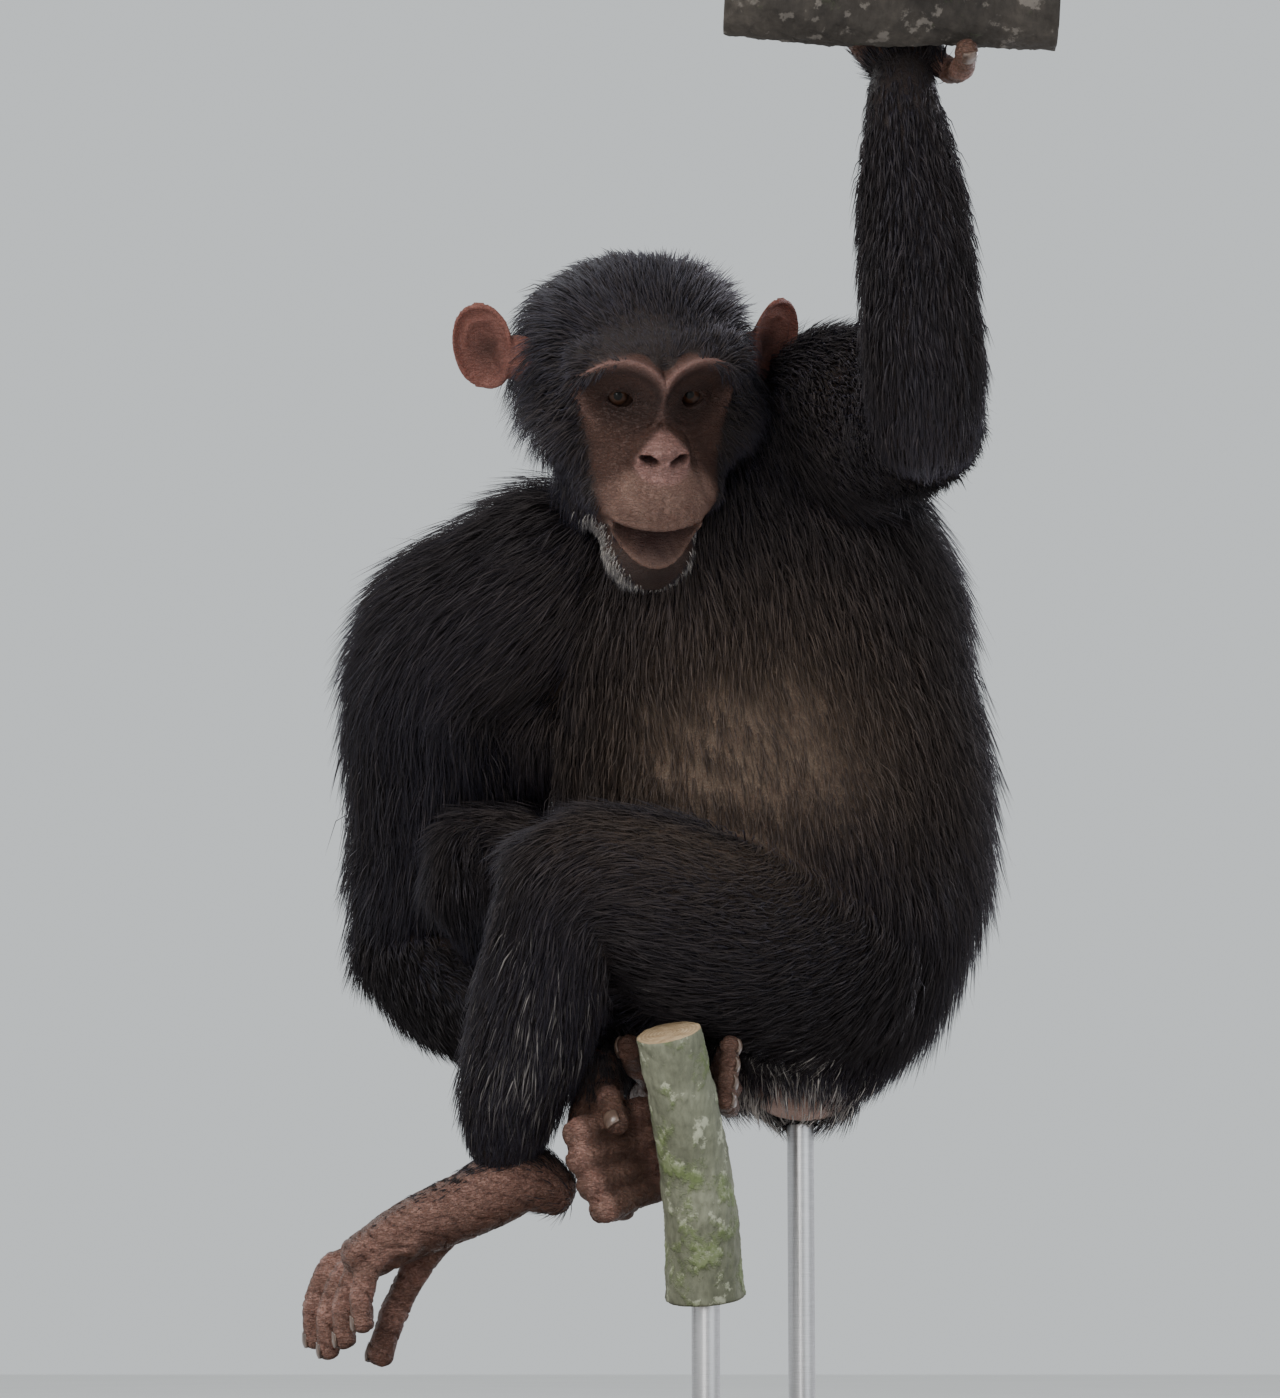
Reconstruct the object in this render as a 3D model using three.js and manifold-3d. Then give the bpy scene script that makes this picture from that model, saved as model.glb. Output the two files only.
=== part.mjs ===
// Young chimpanzee, life size, gripping a branch overhead and a thin trunk, on a display stand.
// Millimetres, +Z up. The origin is the middle of the underside of the base. The animal looks along -Y,
// so its left side lies towards +X.
import * as THREE from 'three';
import { mergeVertices } from 'three/addons/utils/BufferGeometryUtils.js';
import Module from 'manifold-3d';

const wasm = await Module();
wasm.setup();

// Gap kept between two touching pieces.
const gap = 0.3;

// Stand.
const baseWidth = 450;
const baseDepth = 450;
const baseThickness = 20;
const baseCorner = 28;
const rodRadius = 8;

// Each run is a list of stations: x, y, z of the middle, then half the width and half the depth of the flesh.
const torsoRun = [
  [86, 110, 240, 38, 42], [90, 104, 262, 54, 62], [93, 98, 290, 76, 77], [92, 92, 322, 95, 84],
  [88, 84, 354, 108, 90], [78, 74, 407, 117, 92], [68, 71, 467, 118, 87], [62, 67, 521, 116, 79],
  [52, 63, 572, 100, 66], [42, 58, 610, 70, 52],
];
const neckRun = [[28, 58, 586, 63, 50], [20, 42, 618, 54, 47], [-1, 14, 644, 47, 46]];
const upperArmLeftRun = [
  [66, 68, 600, 60, 58], [100, 46, 618, 55, 52], [122, 10, 620, 49, 46], [141, -61, 601, 38, 36],
  [149, -133, 583, 28, 29],
];
const forearmLeftRun = [
  [150, -146, 575, 27, 27], [148, -160, 606, 31, 28], [145, -163, 654, 30, 26], [142, -157, 710, 27, 23],
  [139, -150, 755, 21, 19], [138, -145, 783, 17, 17],
];
const upperArmRightRun = [
  [-56, 56, 530, 54, 50], [-118, 62, 494, 50, 47], [-126, 94, 449, 53, 44], [-124, 123, 404, 53, 41],
  [-135, 148, 361, 46, 37], [-149, 163, 333, 32, 31],
];
const forearmRightRun = [
  [-152, 163, 325, 29, 30], [-129, 134, 295, 30, 30], [-92, 91, 272, 27, 27], [-57, 42, 254, 21, 22],
  [-33, 1, 241, 15, 18],
];
const thighLeftRun = [
  [114, 56, 308, 48, 56], [82, 26, 308, 50, 64], [39, -18, 312, 46, 57], [-5, -55, 330, 40, 45],
  [-38, -73, 341, 34, 36],
];
const shinLeftRun = [
  [-45, -75, 340, 35, 33], [-55, -61, 303, 35, 35], [-68, -42, 262, 32, 33], [-80, -22, 222, 27, 27],
  [-86, -5, 193, 21, 21],
];
const thighRightRun = [
  [71, 136, 296, 52, 54], [22, 127, 313, 50, 50], [-32, 108, 336, 42, 44], [-74, 88, 355, 36, 38],
  [-98, 77, 362, 32, 33],
];
const shinRightRun = [
  [-104, 75, 360, 32, 33], [-82, 93, 328, 31, 33], [-50, 113, 291, 26, 28], [-20, 128, 259, 20, 22],
  [1, 139, 237, 16, 17],
];
const footLeftRun = [
  [-55, 8, 166, 14, 16], [-76, 2, 173, 20, 22], [-104, 6, 160, 19, 25], [-138, 9, 145, 17, 29],
  [-168, 11, 128, 13, 31],
];
const footRightRun = [
  [7, 164, 222, 14, 14], [3, 142, 226, 19, 19], [8, 100, 224, 22, 16], [14, 55, 224, 28, 14],
  [22, 10, 226, 30, 12],
];
const handRightRun = [
  [-31, -2, 237, 13, 17], [-32, -11, 217, 15, 15], [-33, -17, 196, 17, 14], [-28, -19, 174, 16, 13],
];
const handLeftRun = [[139, -144, 785, 14, 17], [135, -139, 805, 12, 28], [131, -143, 832, 10, 32]];

// Trunk and branch that the animal grips: x, y, z of the middle and the radius at each station.
const trunkRun = [[8, -62, 252, 19], [18, -44, 205, 20], [25, -31, 160, 21], [29, -18, 106, 23]];
const branchRun = [[40, -177, 820, 26], [100, -179, 815, 28], [160, -177, 813, 26], [222, -178, 811, 27]];

// Each limb: its run, the depth of its fur, how much of that fades by the far end, the direction that half the
// width is measured in, and how fine its rings are.
const forms = {
  torso: { run: torsoRun, fur: 21, across: [1, 0.25, 0], sides: 16 },
  neck: { run: neckRun, fur: 16, sides: 12 },
  upper_arm_left: { run: upperArmLeftRun, fur: 13, across: [0, 0, 1] },
  forearm_left: { run: forearmLeftRun, fur: 8, fade: 0.6 },
  upper_arm_right: { run: upperArmRightRun, fur: 17 },
  forearm_right: { run: forearmRightRun, fur: 13, fade: 0.6, across: [0, 0, 1] },
  thigh_left: { run: thighLeftRun, fur: 10, across: [0.6, -0.8, 0], sides: 12 },
  shin_left: { run: shinLeftRun, fur: 10, fade: 0.6 },
  thigh_right: { run: thighRightRun, fur: 12, across: [0, 1, 0], sides: 12 },
  shin_right: { run: shinRightRun, fur: 11, fade: 0.6 },
};
const headFur = 12;

// Share of the fur's depth that the core of the coat fills under the locks.
const coreShare = 0.45;

// How far the hair of one part keeps off the coat of the next.
const coatMargin = 2.5;

// Locks of each limb: rows and columns of them, the stretch of the run that they grow on, how far along the run
// each one reaches (its lie) and its width.
const lockPlan = {
  torso: { rows: 6, columns: 10, from: 0.18, to: 0.97, reach: -0.22, width: 54 },
  neck: { rows: 2, columns: 7, from: 0.4, to: 0.95, reach: -0.6, width: 36 },
  upper_arm_left: { rows: 3, columns: 6, from: 0.14, to: 0.74, reach: 0.3, width: 34 },
  forearm_left: { rows: 3, columns: 5, from: 0.28, to: 0.82, reach: -0.28, width: 28 },
  upper_arm_right: { rows: 4, columns: 6, from: 0.02, to: 0.76, reach: 0.32, width: 38 },
  forearm_right: { rows: 3, columns: 5, from: 0.32, to: 0.9, reach: -0.32, width: 32 },
  thigh_left: { rows: 3, columns: 7, from: 0.14, to: 0.72, reach: 0.28, width: 40 },
  shin_left: { rows: 3, columns: 5, from: 0.1, to: 0.7, reach: 0.32, width: 31 },
  thigh_right: { rows: 3, columns: 6, from: 0.15, to: 0.74, reach: 0.28, width: 36 },
  shin_right: { rows: 2, columns: 4, from: 0.12, to: 0.66, reach: 0.34, width: 28 },
};
// Locks of the head grow in fans: longitude and latitude of the middle of the fan, how far it spreads in each,
// rows and columns, and the lie of its locks, all in degrees. Longitude 180 is the middle of the face.
const headFans = [
  { middle: [0, 38], spread: [130, 44], rows: 3, columns: 6, lie: [0, -22], width: 38, sweep: 0.2 },
  { middle: [122, -14], spread: [18, 44], rows: 3, columns: 2, lie: [-16, -24], width: 24, sweep: 0 },
  { middle: [-122, -14], spread: [18, 44], rows: 3, columns: 2, lie: [16, -24], width: 24, sweep: 0 },
];

// Head: middle of the skull, its turns in degrees, and the forms of the skull and face.
// A form is x, y, z of its middle and its three half sizes; the face looks along -Y before the head is turned.
const headAt = new THREE.Vector3(-12, -21, 649);
const headPitch = 34;
const headYaw = 12;
const headRoll = -4;
const headHeart = [0, -20, -28];
const headBlend = 6;
const headForms = [
  [0, 6, 3, 55, 70, 48], [0, 30, -22, 44, 38, 40], [0, -48, -24, 36, 27, 34],
  [30, -36, -26, 24, 26, 28], [-30, -36, -26, 24, 26, 28],
  [22, -57, 20, 24, 13, 10], [-22, -57, 20, 24, 13, 10], [0, -60, 19, 15, 9, 8],
  [0, -70, -54, 36, 32, 24], [2, -62, -96, 25, 26, 23], [0, -25, -68, 40, 46, 32],
  [0, -67, -10, 7, 8, 20], [0, -83, -25, 12, 9, 9],
];
const eyeSide = 21;
const eyeBack = -56;
const eyeUp = -1;
const eyeRadius = 11.5;
const earAt = [86, 13, 3];

// Repeatable random numbers from 0 to 1.
let seed = 11;
function random() {
  seed = (seed * 16807) % 2147483647;
  return seed / 2147483647;
}

// A closed surface as a solid that can be joined and cut.
function solidOf(geometry) {
  const bare = geometry.clone();
  for (const name of ['normal', 'uv']) {
    bare.deleteAttribute(name);
  }
  const merged = mergeVertices(bare, 1e-4);
  const mesh = new wasm.Mesh({
    numProp: 3,
    vertProperties: Float32Array.from(merged.attributes.position.array),
    triVerts: Uint32Array.from(merged.index.array),
  });
  return new wasm.Manifold(mesh);
}

// The largest closed surface of a solid, with its hollows filled.
function largestOf(solid) {
  const pieces = solid.decompose();
  pieces.sort((a, b) => b.volume() - a.volume());
  return pieces[0];
}

function geometryOf(solid) {
  const mesh = largestOf(solid).getMesh();
  const geometry = new THREE.BufferGeometry();
  geometry.setAttribute('position', new THREE.BufferAttribute(Float32Array.from(mesh.vertProperties), 3));
  geometry.setIndex(new THREE.BufferAttribute(Uint32Array.from(mesh.triVerts), 1));
  return geometry;
}

// A closed grid: rings of equal length between a first and a last pole, turned so that its faces point out.
function closedRings(first, rings, last) {
  const sides = rings[0].length;
  const points = [first, ...rings.flat(), last];
  const index = [];
  const at = (ring, side) => 1 + ring * sides + (side % sides);
  for (let side = 0; side < sides; side += 1) {
    index.push(0, at(0, side + 1), at(0, side));
    index.push(points.length - 1, at(rings.length - 1, side), at(rings.length - 1, side + 1));
    for (let ring = 0; ring + 1 < rings.length; ring += 1) {
      index.push(at(ring, side), at(ring, side + 1), at(ring + 1, side));
      index.push(at(ring, side + 1), at(ring + 1, side + 1), at(ring + 1, side));
    }
  }
  const normal = new THREE.Vector3();
  let volume = 0;
  for (let i = 0; i < index.length; i += 3) {
    const [a, b, c] = [points[index[i]], points[index[i + 1]], points[index[i + 2]]];
    volume += a.dot(normal.crossVectors(b, c));
  }
  if (volume < 0) {
    index.reverse();
  }
  const geometry = new THREE.BufferGeometry().setFromPoints(points);
  geometry.setIndex(index);
  return geometry;
}

// The skin of a limb: a function of the place along its run (0 to 1), the turn round it in radians and the
// height over the flesh as a share of its fur. Fur fades towards the far end.
function limbSkin({ run, fur = 0, fade = 0, across = [1, 0, 0] }, more = 0) {
  const path = new THREE.CatmullRomCurve3(run.map(([x, y, z]) => new THREE.Vector3(x, y, z)));
  const sizes = new THREE.CatmullRomCurve3(run.map(([, , , a, b = a]) => new THREE.Vector3(a, b, 0)));
  return (place, turn, share, shift = 0, scale = 1) => {
    const t = THREE.MathUtils.clamp(place, 0, 1);
    const along = path.getTangent(t);
    const size = sizes.getPoint(t);
    const side = new THREE.Vector3(...across);
    const wide = side.clone().addScaledVector(along, -along.dot(side)).normalize();
    const deep = new THREE.Vector3().crossVectors(along, wide);
    const cover = more + fur * share * (1 - fade * t * t);
    return path.getPoint(t)
      .addScaledVector(along, shift * (Math.min(size.x, size.y) + cover))
      .addScaledVector(wide, (size.x + cover) * scale * Math.cos(turn))
      .addScaledVector(deep, (size.y + cover) * scale * Math.sin(turn));
  };
}

// A limb: elliptical rings carried along its run, with domed ends.
function limb(form, share = 1, more = 0) {
  const { run, sides = 10, steps = 1, dome = 0.7 } = form;
  const skinAt = limbSkin(form, more);
  const ring = (t, shift, scale) => Array.from(
    { length: sides }, (_, i) => skinAt(t, (2 * Math.PI * i) / sides, share, shift, scale),
  );
  const count = (run.length - 1) * steps;
  const rings = [ring(0, -0.6 * dome, 0.75)];
  for (let i = 0; i <= count; i += 1) {
    rings.push(ring(i / count, 0, 1));
  }
  rings.push(ring(1, 0.6 * dome, 0.75));
  return solidOf(closedRings(skinAt(0, 0, share, -dome, 0), rings, skinAt(1, 0, share, dome, 0)));
}

// A flat, tapered, bent lock of hair. It is rooted under the core of the coat and ends in a point at its edge.
function lock(skinAt, [u, v], [du, dv], width, fur) {
  const thickness = Math.min(0.22 * width, 0.45 * fur);
  const spine = [[-0.08, -0.35, 0.45], [0.2, 0.42, 1], [0.62, 0.8, 0.72]];
  const tip = skinAt(u + du, v + dv, 1);
  const rings = spine.map(([k, share, taper]) => {
    const middle = skinAt(u + du * k, v + dv * k, share);
    const ahead = skinAt(u + du * (k + 0.15), v + dv * (k + 0.15), share).sub(middle).normalize();
    const out = skinAt(u + du * k, v + dv * k, share + 0.2).sub(middle).normalize();
    const wide = new THREE.Vector3().crossVectors(ahead, out).normalize().multiplyScalar(0.5 * width * taper);
    out.multiplyScalar(0.5 * thickness * taper);
    const [left, low] = [wide.clone().negate(), out.clone().negate()];
    return [wide, out, left, low].map((corner) => corner.add(middle));
  });
  const root = skinAt(u - du * 0.12, v - dv * 0.12, -0.45);
  return solidOf(closedRings(root, rings, tip));
}

// A straight or bent pole with flat cut ends.
function pole(run, sides, more = 0) {
  const path = new THREE.CatmullRomCurve3(run.map(([x, y, z]) => new THREE.Vector3(x, y, z)));
  const sizes = new THREE.CatmullRomCurve3(run.map(([, , , r]) => new THREE.Vector3(r, 0, 0)));
  const count = (run.length - 1) * 2;
  const rings = [];
  for (let i = 0; i <= count; i += 1) {
    const along = path.getTangent(i / count);
    const wide = new THREE.Vector3(0, 1, 0).addScaledVector(along, -along.y).normalize();
    const deep = new THREE.Vector3().crossVectors(along, wide);
    const middle = path.getPoint(i / count);
    const radius = sizes.getPoint(i / count).x + more;
    rings.push(Array.from({ length: sides }, (_, k) => {
      const turn = (2 * Math.PI * k) / sides;
      const r = radius * (1 + 0.035 * Math.sin(3 * turn + i) + 0.03 * Math.sin(2 * turn - 0.7 * i));
      return middle.clone().addScaledVector(wide, r * Math.cos(turn)).addScaledVector(deep, r * Math.sin(turn));
    }));
  }
  const ends = [path.getPoint(0), path.getPoint(1)];
  return solidOf(closedRings(ends[0], rings, ends[1]));
}

// An ellipsoid solid.
function ball([x, y, z], [a, b, c], across = 16, high = 12) {
  const geometry = new THREE.SphereGeometry(1, across, high);
  geometry.scale(a, b, c);
  geometry.translate(x, y, z);
  return solidOf(geometry);
}

const joined = (first, ...others) => others.reduce((whole, piece) => whole.add(piece), first);
const cutBy = (solid, ...tools) => tools.reduce((whole, tool) => whole.subtract(tool), solid);

// Head surface: a smooth blend of the forms, followed outwards from the heart of the head.
function headDepth(x, y, z, more) {
  let sum = 0;
  for (const [cx, cy, cz, a, b, c] of headForms) {
    const reach = Math.hypot((x - cx) / (a + more), (y - cy) / (b + more), (z - cz) / (c + more));
    sum += Math.exp(-((reach - 1) * (Math.min(a, b, c) + more)) / headBlend);
  }
  return -headBlend * Math.log(sum);
}

function headReach(direction, more) {
  let inside = 10;
  let outside = 190;
  for (let i = 0; i < 22; i += 1) {
    const middle = (inside + outside) / 2;
    const [x, y, z] = headHeart.map((c, k) => c + direction.getComponent(k) * middle);
    if (headDepth(x, y, z, more) < 0) {
      inside = middle;
    } else {
      outside = middle;
    }
  }
  return inside;
}

// Hair stands on the crown, cheeks and nape and leaves the face bare.
function hairShare(direction) {
  const front = -direction.y;
  const up = direction.z;
  const bare = THREE.MathUtils.smoothstep(front, 0.42, 0.72) * (1 - THREE.MathUtils.smoothstep(up, 0.45, 0.68));
  return 1 - bare;
}

function headShell(more, hair) {
  const across = 32;
  const high = 21;
  const heart = new THREE.Vector3(...headHeart);
  const place = (turn, tilt) => {
    // Lines crowd towards the face, where the forms are small.
    const lon = turn + 0.62 * Math.sin(turn);
    const lat = tilt + 0.16 * Math.sin(2 * (tilt - 0.15));
    const direction = new THREE.Vector3(
      Math.cos(lat) * Math.sin(lon), Math.cos(lat) * Math.cos(lon), Math.sin(lat),
    );
    const reach = headReach(direction, more) + hair * hairShare(direction);
    return heart.clone().addScaledVector(direction, reach);
  };
  const rings = [];
  for (let row = 1; row < high; row += 1) {
    const tilt = -Math.PI / 2 + (Math.PI * row) / high;
    rings.push(Array.from({ length: across }, (_, i) => place((2 * Math.PI * i) / across, tilt)));
  }
  return solidOf(closedRings(place(0, -Math.PI / 2), rings, place(0, Math.PI / 2)));
}

// The lids are a shell over the eyeball, and the almond between them opens onto it.
const lidShell = (side) => ball([side * eyeSide, eyeBack, eyeUp], [15, 14.6, 13.6], 10, 6);
const lidOpening = (side) => ball([side * eyeSide, eyeBack - 16, eyeUp - 0.5], [11.5, 18, 5.2], 12, 8);

const mouth = (less) => ball([0, -96, -73], [27 - less, 17 - less, 5.5 - less], 16, 8);

const eyeHole = (side) => ball([side * eyeSide, eyeBack, eyeUp], Array(3).fill(eyeRadius + gap), 10, 6);

function headCore() {
  return cutBy(
    joined(headShell(0, headFur * coreShare), lidShell(1), lidShell(-1)),
    lidOpening(1), lidOpening(-1), eyeHole(1), eyeHole(-1), mouth(0),
    ball([7.5, -96, -31], [3.4, 8, 2.8], 8, 6),
    ball([-7.5, -96, -31], [3.4, 8, 2.8], 8, 6),
  );
}

// Turns a piece made in the head's own frame to its place.
function turnHead(solid) {
  const turn = new THREE.Matrix4().makeRotationFromEuler(
    new THREE.Euler(
      THREE.MathUtils.degToRad(headPitch), THREE.MathUtils.degToRad(headRoll), THREE.MathUtils.degToRad(headYaw), 'ZYX',
    ),
  );
  turn.setPosition(headAt);
  return solid.transform(turn.elements);
}

// One ear: a flat oval with a cup sunk in its outer face and a rolled rim.
function earSolid(side, more = 0) {
  const outer = ball([0, 0, 0], [21 + more, 8 + more, 28 + more], 12, 8);
  const cup = ball([1, -7, 2], [15 - more, 9 - more, 21 - more], 8, 6);
  const root = ball([-19, 3, -8], [16 + more, 8 + more, 13 + more], 8, 5);
  const turn = new THREE.Matrix4().makeRotationFromEuler(new THREE.Euler(-0.1, 0.1, 0.8, 'XYZ'));
  let ear = joined(outer.subtract(cup), root).transform(turn.elements);
  ear = ear.translate(...earAt);
  if (side < 0) {
    ear = ear.mirror([1, 0, 0]);
  }
  return turnHead(ear);
}

function toe(points, radius, more = 0) {
  const run = points.map(([x, y, z], i) => [x, y, z, radius * (1 - 0.07 * i)]);
  return limb({ run, sides: 5 }, 1, more);
}

// Right hand: wrist above, four bent fingers stacked at the left of the trunk with their tips behind it.
function handRight(more) {
  let hand = limb({ run: handRightRun, across: [1, 0, 0.1] }, 1, more);
  const knuckles = [[-43, -49, 197], [-41, -47, 182], [-35, -45, 168], [-28, -43, 155]];
  for (const [x, y, z] of knuckles) {
    const lean = (z - 160) * 0.27;
    hand = hand.add(toe([[x + 10, y + 26, z + 3], [x, y, z], [x + 31, -8 - lean, z + 13],
      [x + 62, -3 - lean, z + 19]], 9, more));
  }
  return hand.add(toe([[-30, -14, 226], [-25, -35, 216], [-21, -49, 202]], 7.8, more));
}

// Left hand: palm behind the branch, fingers hooked over it, thumb below.
function handLeft() {
  let hand = limb({ run: handLeftRun, across: [0, 1, 0] });
  for (let i = 0; i < 4; i += 1) {
    const x = 103 + i * 17.5;
    const top = i === 1 || i === 2 ? 3 : 0;
    hand = hand.add(toe([[x, -143, 834], [x, -153, 851 + top], [x, -178, 857 + top], [x, -202, 849 + top],
      [x + 1, -216, 831], [x + 1, -216, 817 - top]], 8.3));
  }
  return hand.add(toe([[150, -142, 796], [165, -150, 781], [170, -172, 776], [171, -190, 780]], 7.6));
}

// Left foot hangs free with drooping toes.
function footLeft() {
  let foot = limb({ run: footLeftRun, across: [0.5, 0, 0.85] });
  const bases = [[-190, 32, 121], [-181, 19, 117], [-171, 5, 121], [-160, -9, 128]];
  bases.forEach(([x, y, z], i) => {
    const drop = 40 - 2 * Math.abs(i - 1);
    foot = foot.add(toe([[x + 22, y, z + 9], [x + 4, y, z + 3], [x - 5, y + 1, z - drop / 2], [x - 5, y + 3, z - drop]], 8.1));
  });
  return foot.add(toe([[-122, 26, 142], [-138, 38, 122], [-150, 42, 98], [-158, 41, 74]], 9.6));
}

// Right foot reaches forward to the trunk from behind, toes on its far side and the great toe on the near one.
function footRight() {
  let foot = limb({ run: footRightRun, across: [1, 0, 0] });
  for (let i = 0; i < 4; i += 1) {
    const up = 246 - i * 10;
    foot = foot.add(toe([[34, 8, 226 + i], [42, -14, up - 2], [43 - i, -38, up]], 7));
  }
  return foot.add(toe([[2, 14, 230], [-9, -8, 238], [-14, -28, 246]], 9));
}

// Locks of the crown, nape and cheeks, grown in the head's own frame.
function headLocks() {
  const heart = new THREE.Vector3(...headHeart);
  const skinAt = (lon, lat, share) => {
    const direction = new THREE.Vector3(
      Math.cos(lat) * Math.sin(lon), Math.cos(lat) * Math.cos(lon), Math.sin(lat),
    );
    return heart.clone().addScaledVector(direction, headReach(direction, 0) + headFur * share);
  };
  const turn = THREE.MathUtils.degToRad;
  const locks = [];
  for (const { middle, spread, rows, columns, lie, width, sweep } of headFans) {
    for (let row = 0; row < rows; row += 1) {
      for (let column = 0; column < columns; column += 1) {
        const lon = middle[0] + spread[0] * ((column + 0.5 * (row % 2)) / (columns - 0.5) - 0.5) * 2;
        const lat = middle[1] + spread[1] * (0.5 - row / (rows - 1));
        const lean = [turn(lie[0] - sweep * lon), turn(lie[1])];
        locks.push(lock(skinAt, [turn(lon), turn(lat)], lean, width * (0.85 + 0.3 * random()), headFur));
      }
    }
  }
  return locks;
}

// Whether a point lies inside the coat of a limb.
function covers({ run, fur = 0, fade = 0 }, point) {
  const path = new THREE.CatmullRomCurve3(run.map(([x, y, z]) => new THREE.Vector3(x, y, z)));
  return Array.from({ length: 25 }, (_, i) => i / 24).some((t) => {
    const at = Math.min(run.length - 2, Math.floor(t * (run.length - 1)));
    const size = Math.min(...run[at].slice(3), ...run[at + 1].slice(3));
    return path.getPoint(t).distanceTo(point) < size + fur * (1 - fade * t * t);
  });
}

const obstacles = { ...forms, perch_trunk: { run: trunkRun }, perch_branch: { run: branchRun } };

function isClear(name, point) {
  const headMiss = point.distanceTo(headAt) > 72 || name === 'head';
  return headMiss && Object.entries(obstacles).every(([other, form]) => other === name || !covers(form, point));
}

// All locks of one limb in staggered rows, those that would lie in a neighbour left out.
function locksOf(name) {
  const { rows, columns, from, to, reach, width } = lockPlan[name];
  const skinAt = limbSkin(forms[name]);
  const locks = [];
  for (let row = 0; row < rows; row += 1) {
    for (let column = 0; column < columns; column += 1) {
      const u = from + ((to - from) * (row + 0.6 * (random() - 0.5))) / Math.max(1, rows - 1);
      const v = (2 * Math.PI * (column + 0.5 * (row % 2) + 0.4 * (random() - 0.5))) / columns;
      const lie = [reach * (0.85 + 0.3 * random()), 0.22 * (random() - 0.5)];
      const size = width * (0.85 + 0.3 * random());
      const spots = [0.3, 0.7, 1].map((k) => skinAt(u + lie[0] * k, v + lie[1] * k, 0.9));
      if (u + lie[0] > -0.02 && u + lie[0] < 1.02 && spots.every((spot) => isClear(name, spot))) {
        locks.push(lock(skinAt, [u, v], lie, size, forms[name].fur));
      }
    }
  }
  return locks;
}

const group = new THREE.Group();

function add(name, solid, colour, roughness, metalness = 0) {
  const material = new THREE.MeshStandardMaterial({ color: colour, roughness, metalness });
  const mesh = new THREE.Mesh(geometryOf(solid), material);
  mesh.name = name;
  group.add(mesh);
}

const hair = 0x1b1718;
const skin = 0x6b4a3c;
const bark = 0x7b7a5e;

const trunk = pole(trunkRun, 12);
const branch = pole(branchRun, 12);
const trunkGrown = pole(trunkRun, 12, gap);
const branchGrown = pole(branchRun, 12, gap);
const headCoreGrown = turnHead(headShell(gap, headFur * coreShare));
const headCoatGrown = turnHead(headShell(coatMargin, headFur));
const earsGrown = [earSolid(1, gap), earSolid(-1, gap)];

add('ear_left', earSolid(1), 0x9a6a5c, 0.6);
add('ear_right', earSolid(-1), 0x9a6a5c, 0.6);
for (const [name, side] of [['eye_left', 1], ['eye_right', -1]]) {
  add(name, turnHead(ball([side * eyeSide, eyeBack, eyeUp], Array(3).fill(eyeRadius), 10, 6)), 0x3a2012, 0.15);
}
add('teeth_upper', turnHead(ball([0, -90, -70.2], [17, 9, 2.2], 12, 6).intersect(mouth(gap))), 0xd8ccb0, 0.35);
add('tongue', turnHead(ball([0, -88, -76], [15, 11, 2.6], 12, 6).intersect(mouth(gap))), 0x8a4a4a, 0.4);

// The parts under hair, in the order that they are cut by: each core is cut by those before it, and its locks
// by the whole coat of every neighbour.
const order = [
  'neck', 'torso', 'upper_arm_left', 'forearm_left', 'upper_arm_right', 'thigh_left', 'shin_left',
  'forearm_right', 'thigh_right', 'shin_right',
];
const coresGrown = order.map((name) => limb(forms[name], coreShare, gap));
const coatsGrown = order.map((name) => limb(forms[name], 1, coatMargin));
const headPieces = headLocks().map((piece) => cutBy(turnHead(piece), ...coatsGrown, ...earsGrown));
add('head', joined(cutBy(turnHead(headCore()), ...earsGrown), ...headPieces), hair, 0.8);
const coatGrown = (name) => coatsGrown[order.indexOf(name)];
const coreGrown = (name) => coresGrown[order.indexOf(name)];
const always = [...earsGrown, trunkGrown, branchGrown];
order.forEach((name, i) => {
  const core = cutBy(limb(forms[name], coreShare), ...always, headCoreGrown, ...coresGrown.slice(0, i));
  const coats = coatsGrown.filter((_, k) => k !== i);
  const locks = locksOf(name).map((piece) => cutBy(piece, ...always, headCoatGrown, ...coats));
  add(name, joined(core, ...locks), name === 'torso' ? 0x2a2220 : hair, 0.85);
});

add('hand_left', cutBy(handLeft(), coatGrown('forearm_left'), branchGrown), skin, 0.6);
const handCuts = ['forearm_right', 'shin_left', 'thigh_left'].map(coatGrown);
add('hand_right', cutBy(handRight(0), ...handCuts, trunkGrown), skin, 0.6);
add('foot_left', cutBy(footLeft(), coatGrown('shin_left')), skin, 0.6);
add('foot_right', cutBy(footRight(), ...coatsGrown, trunkGrown, handRight(gap)), skin, 0.6);

add('perch_trunk', trunk, bark, 0.9);
add('perch_branch', branch, 0x3b352e, 0.9);

// Stand: a flat base with round corners and two upright rods.
const outline = new THREE.Shape();
const [halfWidth, halfDepth] = [baseWidth / 2 - baseCorner, baseDepth / 2 - baseCorner];
outline.absarc(halfWidth, halfDepth, baseCorner, 0, Math.PI / 2);
outline.absarc(-halfWidth, halfDepth, baseCorner, Math.PI / 2, Math.PI);
outline.absarc(-halfWidth, -halfDepth, baseCorner, Math.PI, 1.5 * Math.PI);
outline.absarc(halfWidth, -halfDepth, baseCorner, 1.5 * Math.PI, 2 * Math.PI);
const plate = new THREE.ExtrudeGeometry(outline, { depth: baseThickness, bevelEnabled: false, curveSegments: 5 });
add('stand_base', solidOf(plate), 0x4a3526, 0.5);

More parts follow.
